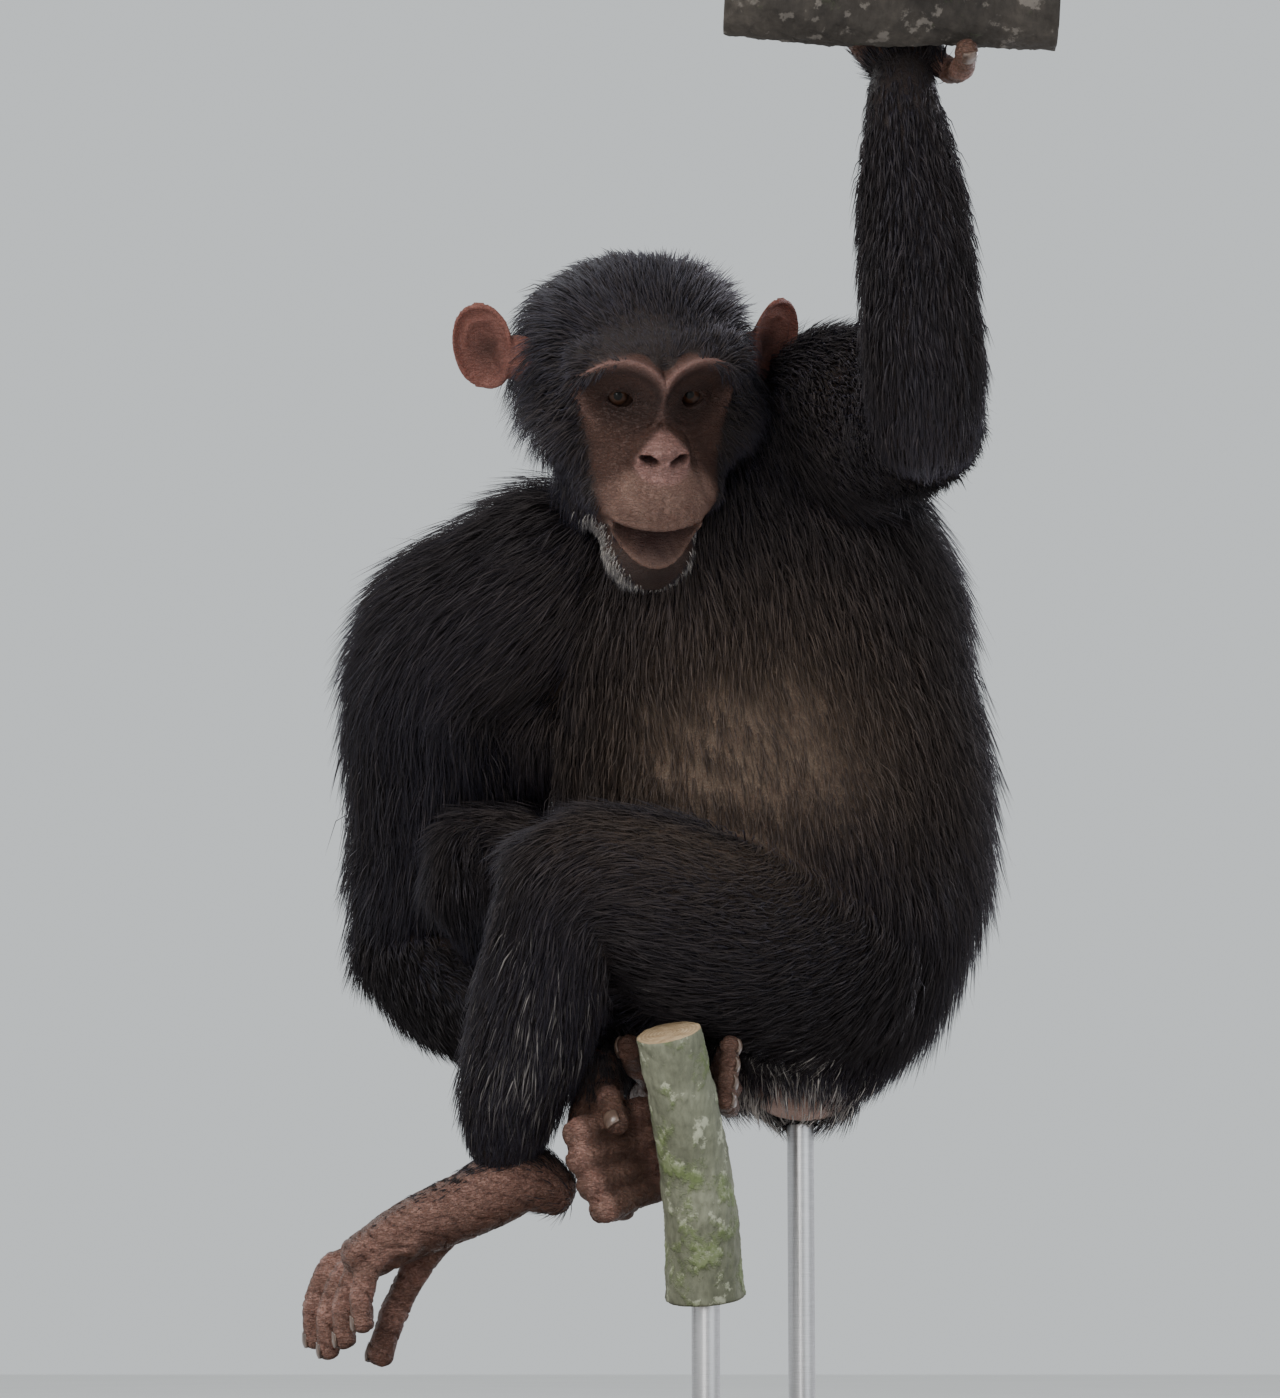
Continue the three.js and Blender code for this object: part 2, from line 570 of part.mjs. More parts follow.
function rod(x, y, low, high) {
  const cylinder = new THREE.CylinderGeometry(rodRadius, rodRadius, high - low, 24);
  cylinder.rotateX(Math.PI / 2);
  cylinder.translate(x, y, (low + high) / 2);
  return solidOf(cylinder);
}
const rodLow = baseThickness + gap;
add('stand_rod_body', cutBy(rod(88, 112, rodLow, 245), coreGrown('torso')), 0x8a8a8c, 0.35, 0.9);
add('stand_rod_perch', cutBy(rod(29, -18, rodLow, 112), trunkGrown), 0x8a8a8c, 0.35, 0.9);

export default group;
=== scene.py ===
# Looks of the young chimpanzee on its display stand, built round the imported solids.
# Lengths are millimetres until a mesh is made, which puts them in metres.
import math
import bpy
import numpy as np
from mathutils import Matrix, Vector


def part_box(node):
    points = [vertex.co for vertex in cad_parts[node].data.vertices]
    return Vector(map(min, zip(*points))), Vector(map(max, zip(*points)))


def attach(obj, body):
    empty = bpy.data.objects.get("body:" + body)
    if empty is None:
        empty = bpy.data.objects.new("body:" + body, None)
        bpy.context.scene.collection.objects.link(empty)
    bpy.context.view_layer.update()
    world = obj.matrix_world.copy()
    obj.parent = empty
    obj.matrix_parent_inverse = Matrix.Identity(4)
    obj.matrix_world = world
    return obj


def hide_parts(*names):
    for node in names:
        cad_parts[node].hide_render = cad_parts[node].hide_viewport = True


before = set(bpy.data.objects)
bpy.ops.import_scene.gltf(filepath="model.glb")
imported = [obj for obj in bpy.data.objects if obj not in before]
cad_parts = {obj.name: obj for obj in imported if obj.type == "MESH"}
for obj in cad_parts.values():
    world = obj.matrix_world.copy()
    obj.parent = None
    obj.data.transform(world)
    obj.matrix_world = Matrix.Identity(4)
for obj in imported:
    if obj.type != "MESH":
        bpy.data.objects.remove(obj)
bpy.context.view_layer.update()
rng = np.random.default_rng(7)
print("frame loaded")

# Camera at the photo's viewing angle, low in front of the animal and looking up.
cameraPlan = {"target": (-8, 30, 455), "distance": 2400, "lookUp": 9, "pixelsPerMm": 1.7,
              "frame": (1280, 1398)}


def addObject(name, data):
    thing = bpy.data.objects.new(name, data)
    bpy.context.scene.collection.objects.link(thing)
    return thing


def makeCamera():
    # Half the frame height over the pixels per millimetre, seen from the distance, gives the lens.
    lookUp = math.radians(cameraPlan["lookUp"])
    back = Vector((0, -math.cos(lookUp), -math.sin(lookUp)))
    data = bpy.data.cameras.new("photoCamera")
    halfHeight = cameraPlan["frame"][1] / cameraPlan["pixelsPerMm"] / 2
    data.lens = data.sensor_width / 2 * cameraPlan["distance"] / halfHeight
    data.clip_start, data.clip_end = 0.05, 60
    camera = addObject("photoCamera", data)
    camera.location = (Vector(cameraPlan["target"]) + back * cameraPlan["distance"]) / 1000
    camera.rotation_mode = "QUATERNION"
    camera.rotation_quaternion = (-back).to_track_quat("-Z", "Y")
    bpy.context.scene.camera = camera
    return np.array(camera.location) * 1000


cameraAt = makeCamera()

# Runs of the limbs: x, y, z of the middle, half the width and half the depth of the flesh at each station.
# "across" is the direction that half the width is measured in. "lie" is +1 where the hair points along the
# run and -1 against it, "length" is the length of its tufts, "lift" the angle at which they leave the skin.
limbs = {
    "torso": {"across": (1, 0.25, 0), "lie": -1, "length": 40, "lift": 0.50, "run": [
        (86, 110, 240, 38, 42), (90, 104, 262, 54, 62), (93, 98, 290, 76, 77), (92, 92, 322, 95, 84),
        (88, 84, 354, 108, 90), (78, 74, 407, 117, 92), (68, 71, 467, 118, 87), (62, 67, 521, 116, 79),
        (52, 63, 572, 100, 66), (42, 58, 610, 70, 52)]},
    "neck": {"lie": -1, "length": 30, "lift": 0.45, "run": [
        (28, 58, 586, 63, 50), (20, 42, 618, 54, 47), (-1, 14, 644, 47, 46)]},
    "upperArmLeft": {"across": (0, 0, 1), "lie": 1, "length": 28, "lift": 0.42, "run": [
        (66, 68, 600, 60, 58), (100, 46, 618, 55, 52), (122, 10, 620, 49, 46), (141, -61, 601, 38, 36),
        (149, -133, 583, 28, 29)]},
    "forearmLeft": {"lie": -1, "length": 24, "lift": 0.34, "run": [
        (150, -146, 575, 27, 27), (148, -160, 606, 31, 28), (145, -163, 654, 30, 26),
        (142, -157, 710, 27, 23), (139, -150, 755, 21, 19), (138, -145, 783, 17, 17)]},
    "upperArmRight": {"lie": 1, "length": 40, "lift": 0.45, "run": [
        (-56, 56, 530, 54, 50), (-118, 62, 494, 50, 47), (-126, 94, 449, 53, 44), (-124, 123, 404, 53, 41),
        (-135, 148, 361, 46, 37), (-149, 163, 333, 32, 31)]},
    "forearmRight": {"across": (0, 0, 1), "lie": 1, "length": 28, "lift": 0.36, "run": [
        (-152, 163, 325, 29, 30), (-129, 134, 295, 30, 30), (-92, 91, 272, 27, 27), (-57, 42, 254, 21, 22),
        (-33, 1, 241, 15, 18)]},
    "thighLeft": {"across": (0.6, -0.8, 0), "lie": 1, "length": 26, "lift": 0.38, "run": [
        (114, 56, 308, 48, 56), (82, 26, 308, 50, 64), (39, -18, 312, 46, 57), (-5, -55, 330, 40, 45),
        (-38, -73, 341, 34, 36)]},
    "shinLeft": {"lie": 1, "length": 26, "lift": 0.38, "run": [
        (-45, -75, 340, 35, 33), (-55, -61, 303, 35, 35), (-68, -42, 262, 32, 33), (-80, -22, 222, 27, 27),
        (-86, -5, 193, 21, 21)]},
    "thighRight": {"across": (0, 1, 0), "lie": 1, "length": 28, "lift": 0.38, "run": [
        (71, 136, 296, 52, 54), (22, 127, 313, 50, 50), (-32, 108, 336, 42, 44), (-74, 88, 355, 36, 38),
        (-98, 77, 362, 32, 33)]},
    "shinRight": {"lie": 1, "length": 26, "lift": 0.38, "run": [
        (-104, 75, 360, 32, 33), (-82, 93, 328, 31, 33), (-50, 113, 291, 26, 28), (-20, 128, 259, 20, 22),
        (1, 139, 237, 16, 17)]},
}

# Palms and soles: "folds" is the depth of their long creases, darkened as painted shade, and "pale" how much
# a painted highlight pales the side in front.
handsAndFeet = {
    "handLeft": {"node": "hand_left", "across": (0, 1, 0), "folds": 0.2, "pale": 0, "run": [
        (139, -144, 785, 14, 17), (135, -139, 805, 12, 28), (131, -143, 832, 10, 32)]},
    "handRight": {"node": "hand_right", "across": (1, 0, 0.1), "folds": 0.2, "pale": 0, "run": [
        (-31, -2, 237, 13, 17), (-32, -11, 217, 15, 15), (-33, -17, 196, 17, 14), (-28, -19, 174, 16, 13)]},
    "footLeft": {"node": "foot_left", "across": (0.5, 0, 0.85), "folds": 1, "pale": 0.6, "run": [
        (-55, 8, 166, 14, 16), (-76, 2, 173, 20, 22), (-104, 6, 160, 19, 25), (-138, 9, 145, 17, 29),
        (-168, 11, 128, 13, 31)]},
    "footRight": {"node": "foot_right", "across": (1, 0, 0), "folds": 0.5, "pale": 0.1, "run": [
        (7, 164, 222, 14, 14), (3, 142, 226, 19, 19), (8, 100, 224, 22, 16), (14, 55, 224, 28, 14),
        (22, 10, 226, 30, 12)]},
}


def digitsOf(name):
    # The points of each digit, its radius, and the direction that its nail faces.
    digits = []
    if name == "handLeft":
        for i in range(4):
            x, top = 103 + i * 17.5, 3 if i in (1, 2) else 0
            points = [(x, -143, 834), (x, -153, 851 + top), (x, -178, 857 + top), (x, -202, 849 + top),
                      (x + 1, -216, 831), (x + 1, -216, 817 - top)]
            digits.append({"points": points, "radius": 8.3, "nail": (0, -1, 0.1)})
        points = [(150, -142, 796), (165, -150, 781), (170, -172, 776), (171, -190, 780)]
        digits.append({"points": points, "radius": 7.6, "nail": (0.3, 0, -1)})
    if name == "handRight":
        for x, y, z in [(-43, -49, 197), (-41, -47, 182), (-35, -45, 168), (-28, -43, 155)]:
            lean = (z - 160) * 0.27
            points = [(x + 10, y + 26, z + 3), (x, y, z), (x + 31, -8 - lean, z + 13),
                      (x + 62, -3 - lean, z + 19)]
            digits.append({"points": points, "radius": 9, "nail": (0.3, 1, 0)})
        points = [(-30, -14, 226), (-25, -35, 216), (-21, -49, 202)]
        digits.append({"points": points, "radius": 7.8, "nail": (-0.5, -0.8, 0.2)})
    if name == "footLeft":
        for i, (x, y, z) in enumerate([(-190, 32, 121), (-181, 19, 117), (-171, 5, 121), (-160, -9, 128)]):
            drop = 40 - 2 * abs(i - 1)
            points = [(x + 22, y, z + 9), (x + 4, y, z + 3), (x - 5, y + 1, z - drop / 2),
                      (x - 5, y + 3, z - drop)]
            digits.append({"points": points, "radius": 8.1, "nail": (-1, -0.1, 0)})
        points = [(-122, 26, 142), (-138, 38, 122), (-150, 42, 98), (-158, 41, 74)]
        digits.append({"points": points, "radius": 9.6, "nail": (-1, 0.2, -0.2)})
    if name == "footRight":
        for i in range(4):
            up = 246 - i * 10
            points = [(34, 8, 226 + i), (42, -14, up - 2), (43 - i, -38, up)]
            digits.append({"points": points, "radius": 7, "nail": (1, -0.4, 0)})
        points = [(2, 14, 230), (-9, -8, 238), (-14, -28, 246)]
        digits.append({"points": points, "radius": 9, "nail": (-1, -0.2, 0.2)})
    return digits


# Head: its place, turns in degrees, the heart that its surface is followed from, and the forms that it
# blends, each the middle and half sizes of an ellipsoid. The eyes look past the camera by "lookBeside".
head = {
    "at": (-12, -21, 649), "pitch": 34, "yaw": 12, "roll": -4, "heart": (0, -20, -28), "blend": 6,
    "forms": [
        (0, 6, 3, 55, 70, 48), (0, 30, -22, 44, 38, 40), (0, -48, -24, 36, 27, 34),
        (30, -36, -26, 24, 26, 28), (-30, -36, -26, 24, 26, 28),
        (22, -57, 20, 24, 13, 10), (-22, -57, 20, 24, 13, 10), (0, -60, 19, 15, 9, 8),
        (0, -70, -54, 36, 32, 24), (2, -62, -96, 25, 26, 23), (0, -25, -68, 40, 46, 32),
        (0, -67, -10, 7, 8, 20), (0, -83, -25, 12, 9, 9)],
    "eye": (21, -56, -1), "eyeRadius": 11.5, "ear": (86, 13, 3),
    "lookBeside": (40, 0, -260),
}


def turned(about, angles):
    # Product of the rotations about the named axes, as an array.
    turn = Matrix.Identity(3)
    for axis, angle in zip(about, angles):
        turn = turn @ Matrix.Rotation(angle, 3, axis)
    return np.array(turn)


headMatrix = turned("ZYX", [math.radians(head[key]) for key in ("yaw", "roll", "pitch")])


def fromHead(points):
    # From the head's own frame to the model's: turned, then moved.
    return points @ headMatrix.T + np.array(head["at"], float)


def toHead(points):
    # The way back: moved, then turned by the transpose.
    return (points - np.array(head["at"], float)) @ headMatrix


def unit(v):
    # Each row over its length.
    return v / np.maximum(np.linalg.norm(v, axis=-1, keepdims=True), 1e-9)


def dot(a, b):
    # Product of each row with its own partner.
    return np.einsum("ij,ij->i", a, b)


def wholeTurn(count):
    return np.linspace(0, 2 * np.pi, count, endpoint=False)[None, :]


def ease(low, high, x):
    # Smooth step: 0 below low, 1 above high, 3k^2 - 2k^3 between.
    k = np.clip((x - low) / (high - low), 0, 1)
    return k * k * (3 - 2 * k)


def bell(x, width):
    # exp(-(x / width)^2): 1 at 0, about a third one width away.
    return np.exp(-(x / width) ** 2)


def swirl(points, scale, phase):
    # Smooth noise from -1 to 1: the mean of five sine waves in fixed slanted directions, each about one
    # scale long.
    turns = np.array([(0.9, 0.3, -0.4), (-0.5, 0.8, 0.3), (0.2, -0.6, 0.9), (0.7, 0.7, 0.2),
                      (-0.3, 0.4, -0.9)])
    waves = points @ (turns * np.array([1, 1.31, 0.83, 1.73, 2.1])[:, None]).T * (2 * np.pi / scale)
    return np.sin(waves + phase * np.array([1, 2.3, 3.1, 4.7, 5.9])).mean(axis=1)


def alongRun(run, t):
    # Cubic through the stations: each value is blended from the four stations round its place.
    run = np.asarray(run, float)
    last = len(run) - 1
    s = np.clip(t, 0, 1) * last
    i = np.minimum(s.astype(int), last - 1)
    f = (s - i)[:, None]
    ends = np.vstack([2 * run[:1] - run[1:2], run, 2 * run[-1:] - run[-2:-1]])
    a, b, c, d = ends[i], ends[i + 1], ends[i + 2], ends[i + 3]
    square, cube = 2 * a - 5 * b + 4 * c - d, 3 * b - 3 * c + d - a
    return 0.5 * (2 * b + (c - a) * f + square * f ** 2 + cube * f ** 3)


def limbFrame(limb, t):
    # At each place t: the middle, the directions along, wide and deep, and half the width and the depth.
    at = alongRun(limb["run"], t)
    along = unit(alongRun(limb["run"], t + 0.01)[:, :3] - alongRun(limb["run"], t - 0.01)[:, :3])
    side = np.array(limb.get("across", (1, 0, 0)), float)
    wide = unit(side - (along @ side)[:, None] * along)
    return at[:, :3], along, wide, np.cross(along, wide), at[:, 3:4], at[:, 4:5]


def gridFaces(rows, columns):
    # Squares of a grid that closes round its columns, with triangles at its two poles (the last two points).
    ring, side = np.arange(rows - 1)[:, None], np.arange(columns)[None, :]
    a, b = ring * columns + side, ring * columns + (side + 1) % columns
    squares = np.stack([a, b, b + columns, a + columns], -1).reshape(-1, 4)
    c = np.arange(columns)
    n = (c + 1) % columns
    low, top = rows * columns, (rows - 1) * columns
    caps = np.concatenate([np.stack([np.full(columns, low), n, c], -1),
                           np.stack([np.full(columns, low + 1), top + c, top + n], -1)])
    return squares, caps


def closedGrid(rings, first, last):
    # rings: rows x columns x 3. Faces are turned so that the volume inside them is positive.
    rows, columns = rings.shape[:2]
    points = np.vstack([rings.reshape(-1, 3), first, last])
    squares, caps = gridFaces(rows, columns)
    a, b, c = points[squares[:, 0]], points[squares[:, 1]], points[squares[:, 2]]
    if dot(a - points[0], np.cross(b - points[0], c - points[0])).sum() < 0:
        squares, caps = squares[:, ::-1], caps[:, ::-1]
    return points, [squares, caps]


def limbSurface(limb, around=36, rows=48, dome=0.7):
    # Ellipses carried along the run, closed at each end by a dome: radius sin k, push cos k.
    k = np.linspace(0.12, np.pi / 2, 7)[:-1]
    scale = np.concatenate([np.sin(k), np.ones(rows), np.sin(k)[::-1]])[:, None]
    push = np.concatenate([-np.cos(k), np.zeros(rows), np.cos(k)[::-1]])[:, None] * dome
    t = np.concatenate([np.zeros(6), np.linspace(0, 1, rows), np.ones(6)])
    at, along, wide, deep, a, b = limbFrame(limb, t)
    least = np.minimum(a, b)
    middle = at + along * push * least
    turn = wholeTurn(around)[..., None]
    rings = (middle[:, None] + (a * scale)[:, None] * np.cos(turn) * wide[:, None]
             + (b * scale)[:, None] * np.sin(turn) * deep[:, None])
    ends = [at[[0]] - along[[0]] * dome * least[[0]], at[[-1]] + along[[-1]] * dome * least[[-1]]]
    return closedGrid(rings, *ends)


def ballSurface(middle, halfSizes, around=24, rows=16):
    # Ellipsoid: middle + halfSizes * (cos tilt cos turn, cos tilt sin turn, sin tilt).
    turn = wholeTurn(around)
    tilt = np.linspace(-np.pi / 2, np.pi / 2, rows + 2)[1:-1, None]
    shape = np.stack([np.cos(tilt) * np.cos(turn), np.cos(tilt) * np.sin(turn),
                      np.sin(tilt) * np.ones_like(turn)], -1)
    middle, halfSizes = np.array(middle, float), np.array(halfSizes, float)
    poles = [middle - (0, 0, halfSizes[2]), middle + (0, 0, halfSizes[2])]
    return closedGrid(middle + shape * halfSizes, *poles)


def makeMesh(name, points, faces, values=None, uv=None, smooth=True):
    # faces: index arrays, one for each number of corners. values: name to one number or one colour a point.
    mesh = bpy.data.meshes.new(name)
    mesh.vertices.add(len(points))
    mesh.vertices.foreach_set("co", (np.asarray(points) * 0.001).astype(np.float32).ravel())
    corners = np.concatenate([f.ravel() for f in faces]).astype(np.int32)
    sizes = np.concatenate([np.full(len(f), f.shape[1]) for f in faces])
    mesh.loops.add(len(corners))
    mesh.loops.foreach_set("vertex_index", corners)
    mesh.polygons.add(len(sizes))
    mesh.polygons.foreach_set("loop_start", np.concatenate([[0], np.cumsum(sizes)[:-1]]).astype(np.int32))
    mesh.update(calc_edges=True)
    mesh.polygons.foreach_set("use_smooth", np.full(len(sizes), smooth))
    for key, value in (values or {}).items():
        value = np.asarray(value, np.float32)
        if value.ndim == 2:
            layer = mesh.attributes.new(key, "FLOAT_COLOR", "POINT")
            opaque = np.hstack([value, np.ones((len(value), 1))]).astype(np.float32)
            layer.data.foreach_set("color", opaque.ravel())
        else:
            layer = mesh.attributes.new(key, "FLOAT", "POINT")
            layer.data.foreach_set("value", value)
    if uv is not None:
        layer = mesh.uv_layers.new(name="OFBake")
        layer.data.foreach_set("uv", uv[corners].astype(np.float32).ravel())
    return mesh


def makePiece(name, surface, material, slot, *nodes, **extras):
    # A finished object that stands for the named solids, or for none where it only adds to them.
    piece = addObject(name, makeMesh(name, *surface, **extras))
    piece.data.materials.append(material)
    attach(piece, "root")
    if nodes:
        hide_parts(*nodes)


def joinedSurfaces(surfaces):
    # Several surfaces as one set of points and faces, each set's indices moved past those before it.
    starts = np.cumsum([0] + [len(points) for points, _ in surfaces])
    points = np.vstack([points for points, _ in surfaces])
    byCorners = {}
    for start, (_, faces) in zip(starts, surfaces):
        for face in faces:
            byCorners.setdefault(face.shape[1], []).append(face + start)
    return points, [np.concatenate(group) for group in byCorners.values()]


def fused(surfaces, grain, rounds):
    # One skin from closed surfaces that cross: remeshed in cells of one grain, then each point is moved
    # towards the mean of its neighbours a few rounds.
    points, faces = joinedSurfaces(surfaces)
    piece = addObject("rough", makeMesh("rough", points, faces))
    remesh = piece.modifiers.new("cells", "REMESH")
    remesh.mode = "VOXEL"
    remesh.voxel_size = grain * 0.001
    soften = piece.modifiers.new("soften", "SMOOTH")
    soften.factor, soften.iterations = 0.5, rounds
    skin = bpy.data.meshes.new_from_object(piece.evaluated_get(bpy.context.evaluated_depsgraph_get()))
    points = np.zeros(len(skin.vertices) * 3)
    skin.vertices.foreach_get("co", points)
    corners = np.zeros(len(skin.loops), np.int32)
    skin.loops.foreach_get("vertex_index", corners)
    sizes = np.zeros(len(skin.polygons), np.int32)
    skin.polygons.foreach_get("loop_total", sizes)
    starts = np.concatenate([[0], np.cumsum(sizes)[:-1]])
    faces = [corners[starts[sizes == n][:, None] + np.arange(n)] for n in (3, 4) if (sizes == n).any()]
    bpy.data.objects.remove(piece)
    return points.reshape(-1, 3) * 1000, faces


def trianglesOf(faces):
    # Each face as a fan of triangles from its first corner.
    return np.concatenate([f[:, [0, k, k + 1]] for f in faces for k in range(1, f.shape[1] - 1)])


def normalsOf(points, faces):
    # At each point, the sum of the area-weighted normals of its triangles, made one long.
    tri = trianglesOf(faces)
    flat = np.cross(points[tri[:, 1]] - points[tri[:, 0]], points[tri[:, 2]] - points[tri[:, 0]])
    total = np.stack([np.bincount(tri.ravel(), np.repeat(flat[:, k], 3), len(points)) for k in range(3)], -1)
    return unit(total)


# Materials: built from noise and from the values that the meshes carry, without any image.
def makeMaterial(name):
    material = bpy.data.materials.new(name)
    material.use_nodes = True
    return material, material.node_tree


def setInputs(tree, node, inputs):
    # Each value is the output that an input is linked to, or the input's own value.
    for key, value in inputs.items():
        if isinstance(value, bpy.types.NodeSocket):
            tree.links.new(value, node.inputs[key])
        else:
            node.inputs[key].default_value = value


def finished(material, inputs):
    tree = material.node_tree
    setInputs(tree, tree.nodes["Principled BSDF"], inputs)
    return material


def addNode(tree, kind, inputs, **settings):
    node = tree.nodes.new(kind)
    for key, value in settings.items():
        setattr(node, key, value)
    setInputs(tree, node, inputs)
    return node


def attribute(tree, name, output="Fac"):
    return addNode(tree, "ShaderNodeAttribute", {}, attribute_name=name).outputs[output]


def objectPlace(tree):
    return addNode(tree, "ShaderNodeTexCoord", {}).outputs["Object"]


def noise(tree, scale, detail=4, stretch=(1, 1, 1), roughness=0.55):
    mapped = addNode(tree, "ShaderNodeMapping", {"Vector": objectPlace(tree), "Scale": stretch}).outputs[0]
    inputs = {"Vector": mapped, "Scale": scale, "Detail": detail, "Roughness": roughness}
    return addNode(tree, "ShaderNodeTexNoise", inputs).outputs["Fac"]


def ramp(tree, value, stops):
    # Stops: place and colour, or place and one number for a grey.
    node = addNode(tree, "ShaderNodeValToRGB", {"Fac": value})
    points = node.color_ramp.elements
    while len(points) < len(stops):
        points.new(0.5)
    for point, (place, colour) in zip(points, stops):
        point.position = place
        point.color = (*colour, 1) if isinstance(colour, tuple) else (colour, colour, colour, 1)
    return node.outputs["Color"]


def mixed(tree, share, first, second, blend="MIX"):
    first, second = ((*value, 1) if isinstance(value, tuple) else value for value in (first, second))
    inputs = {0: share, 6: first, 7: second}
    return addNode(tree, "ShaderNodeMix", inputs, data_type="RGBA", blend_type=blend).outputs[2]


def calc(tree, operation, first, second=0.0):
    return addNode(tree, "ShaderNodeMath", {0: first, 1: second}, operation=operation).outputs[0]


def bump(tree, height, distance, strength):
    inputs = {"Height": height, "Distance": distance, "Strength": strength}
    return addNode(tree, "ShaderNodeBump", inputs).outputs["Normal"]


# Coat: hair colour comes from the tint of each tuft, darker at its root as painted shade, a little paler at
# its tip as painted light.
coatLook = {"roughness": 0.6, "sheen": 0.05, "sheenTint": (0.6, 0.58, 0.9), "tip": 1.25, "root": 0.7}


def coatMaterial():
    # "tint" carries the colour and "along" runs from 0 at the root to 1 at the tip.
    material, tree = makeMaterial("chimpHair")
    # The ramp over "along" is painted shade at the root and painted light at the tip.
    stops = [(0, coatLook["root"] / 2), (0.45, 0.5), (1, coatLook["tip"] / 2)]
    colour = mixed(tree, 1.0, attribute(tree, "tint", "Color"), ramp(tree, attribute(tree, "along"), stops),
                   "MULTIPLY")
    patch = ramp(tree, noise(tree, 60, 3), [(0.3, 0.75), (0.7, 1.0)])
    colour = mixed(tree, 1.0, mixed(tree, 1.0, colour, patch, "MULTIPLY"), (2, 2, 2), "MULTIPLY")
    return finished(material, {
        "Base Color": colour, "Roughness": coatLook["roughness"], "Specular IOR Level": 0.2,
        "Sheen Weight": coatLook["sheen"], "Sheen Roughness": 0.4,
        "Sheen Tint": (*coatLook["sheenTint"], 1)})


def skinMaterial():
    # "tint" carries the colour, "wrinkle" says how coarse the creases are, "wet" makes lips and lids shine.
    material, tree = makeMaterial("chimpSkin")
    blotch = ramp(tree, noise(tree, 90, 5), [(0.32, (0.72, 0.66, 0.66)), (0.68, 1.0)])
    speck = ramp(tree, noise(tree, 900, 3), [(0.35, (0.78, 0.72, 0.7)), (0.6, 1.0)])
    colour = mixed(tree, 0.8, attribute(tree, "tint", "Color"), blotch, "MULTIPLY")
    place = objectPlace(tree)
    warp = addNode(tree, "ShaderNodeTexNoise", {"Vector": place, "Scale": 220.0, "Detail": 3.0})
    bent = addNode(tree, "ShaderNodeMix", {0: 0.0015, 4: place, 5: warp.outputs["Color"]}, data_type="VECTOR")
    cells = addNode(tree, "ShaderNodeTexVoronoi", {"Vector": bent.outputs[1], "Scale": 620.0},
                    feature="DISTANCE_TO_EDGE").outputs["Distance"]
    pores = ramp(tree, cells, [(0.0, 0.0), (0.16, 1.0)])
    lines = ramp(tree, noise(tree, 260, 6, (1, 1, 2.6), 0.6), [(0.42, 0.0), (0.55, 1.0)])
    lift = calc(tree, "MULTIPLY", lines, attribute(tree, "wrinkle"))
    height = calc(tree, "ADD", calc(tree, "MULTIPLY", pores, 0.25), lift)
    dry = calc(tree, "ADD", 0.46, calc(tree, "MULTIPLY", noise(tree, 400, 3), 0.16))
    return finished(material, {
        "Base Color": mixed(tree, 1.0, colour, speck, "MULTIPLY"),
        "Normal": bump(tree, height, 0.0009, 0.9),
        "Roughness": calc(tree, "SUBTRACT", dry, calc(tree, "MULTIPLY", attribute(tree, "wet"), 0.3)),
        "Specular IOR Level": 0.18, "Subsurface Weight": 0.12, "Subsurface Scale": 1.0,
        "Subsurface Radius": (0.004, 0.0015, 0.0008)})


def eyeMaterial():
    # "gaze" is the angle from the middle of the pupil, in radians.
    material, tree = makeMaterial("wetEye")
    streak = calc(tree, "MULTIPLY", calc(tree, "SUBTRACT", noise(tree, 900, 4), 0.5), 0.07)
    stops = [(0.0, 0.001), (0.2, 0.001), (0.235, (0.026, 0.01, 0.0045)), (0.46, (0.013, 0.0055, 0.003)),
             (0.54, (0.004, 0.002, 0.002)), (0.62, (0.03, 0.017, 0.013)), (0.9, (0.045, 0.025, 0.02))]
    return finished(material, {
        "Base Color": ramp(tree, calc(tree, "ADD", attribute(tree, "gaze"), streak), stops),
        "Roughness": 0.5, "Specular IOR Level": 0.05, "Coat Weight": 0.25, "Coat IOR": 1.38,
        "Coat Roughness": 0.03})


def nailMaterial():
    material, tree = makeMaterial("darkNail")
    streak = noise(tree, 300, 4, (1, 1, 0.2))
    return finished(material, {
        "Base Color": ramp(tree, streak, [(0.3, (0.035, 0.022, 0.018)), (0.7, (0.12, 0.08, 0.06))]),
        "Normal": bump(tree, streak, 0.0003, 0.6), "Roughness": 0.3})


def toothMaterial():
    material, tree = makeMaterial("ivoryInPaintedShade")
    return finished(material, {
        # Ivory tone, darkened as painted shade inside the mouth.
        "Base Color": ramp(tree, noise(tree, 350, 4), [(0.3, (0.3, 0.22, 0.13)), (0.7, (0.46, 0.38, 0.26))]),
        "Roughness": 0.22, "Subsurface Weight": 0.1, "Subsurface Radius": (0.002, 0.0015, 0.001)})


def tongueMaterial():
    material, tree = makeMaterial("moistTongueInPaintedShade")
    # Tongue colour, darkened as painted shade inside the mouth.
    stops = [(0.3, (0.05, 0.02, 0.018)), (0.7, (0.1, 0.044, 0.04))]
    return finished(material, {
        "Base Color": ramp(tree, noise(tree, 200, 4), stops),
        "Normal": bump(tree, noise(tree, 1500, 3), 0.0004, 0.8), "Roughness": 0.38})


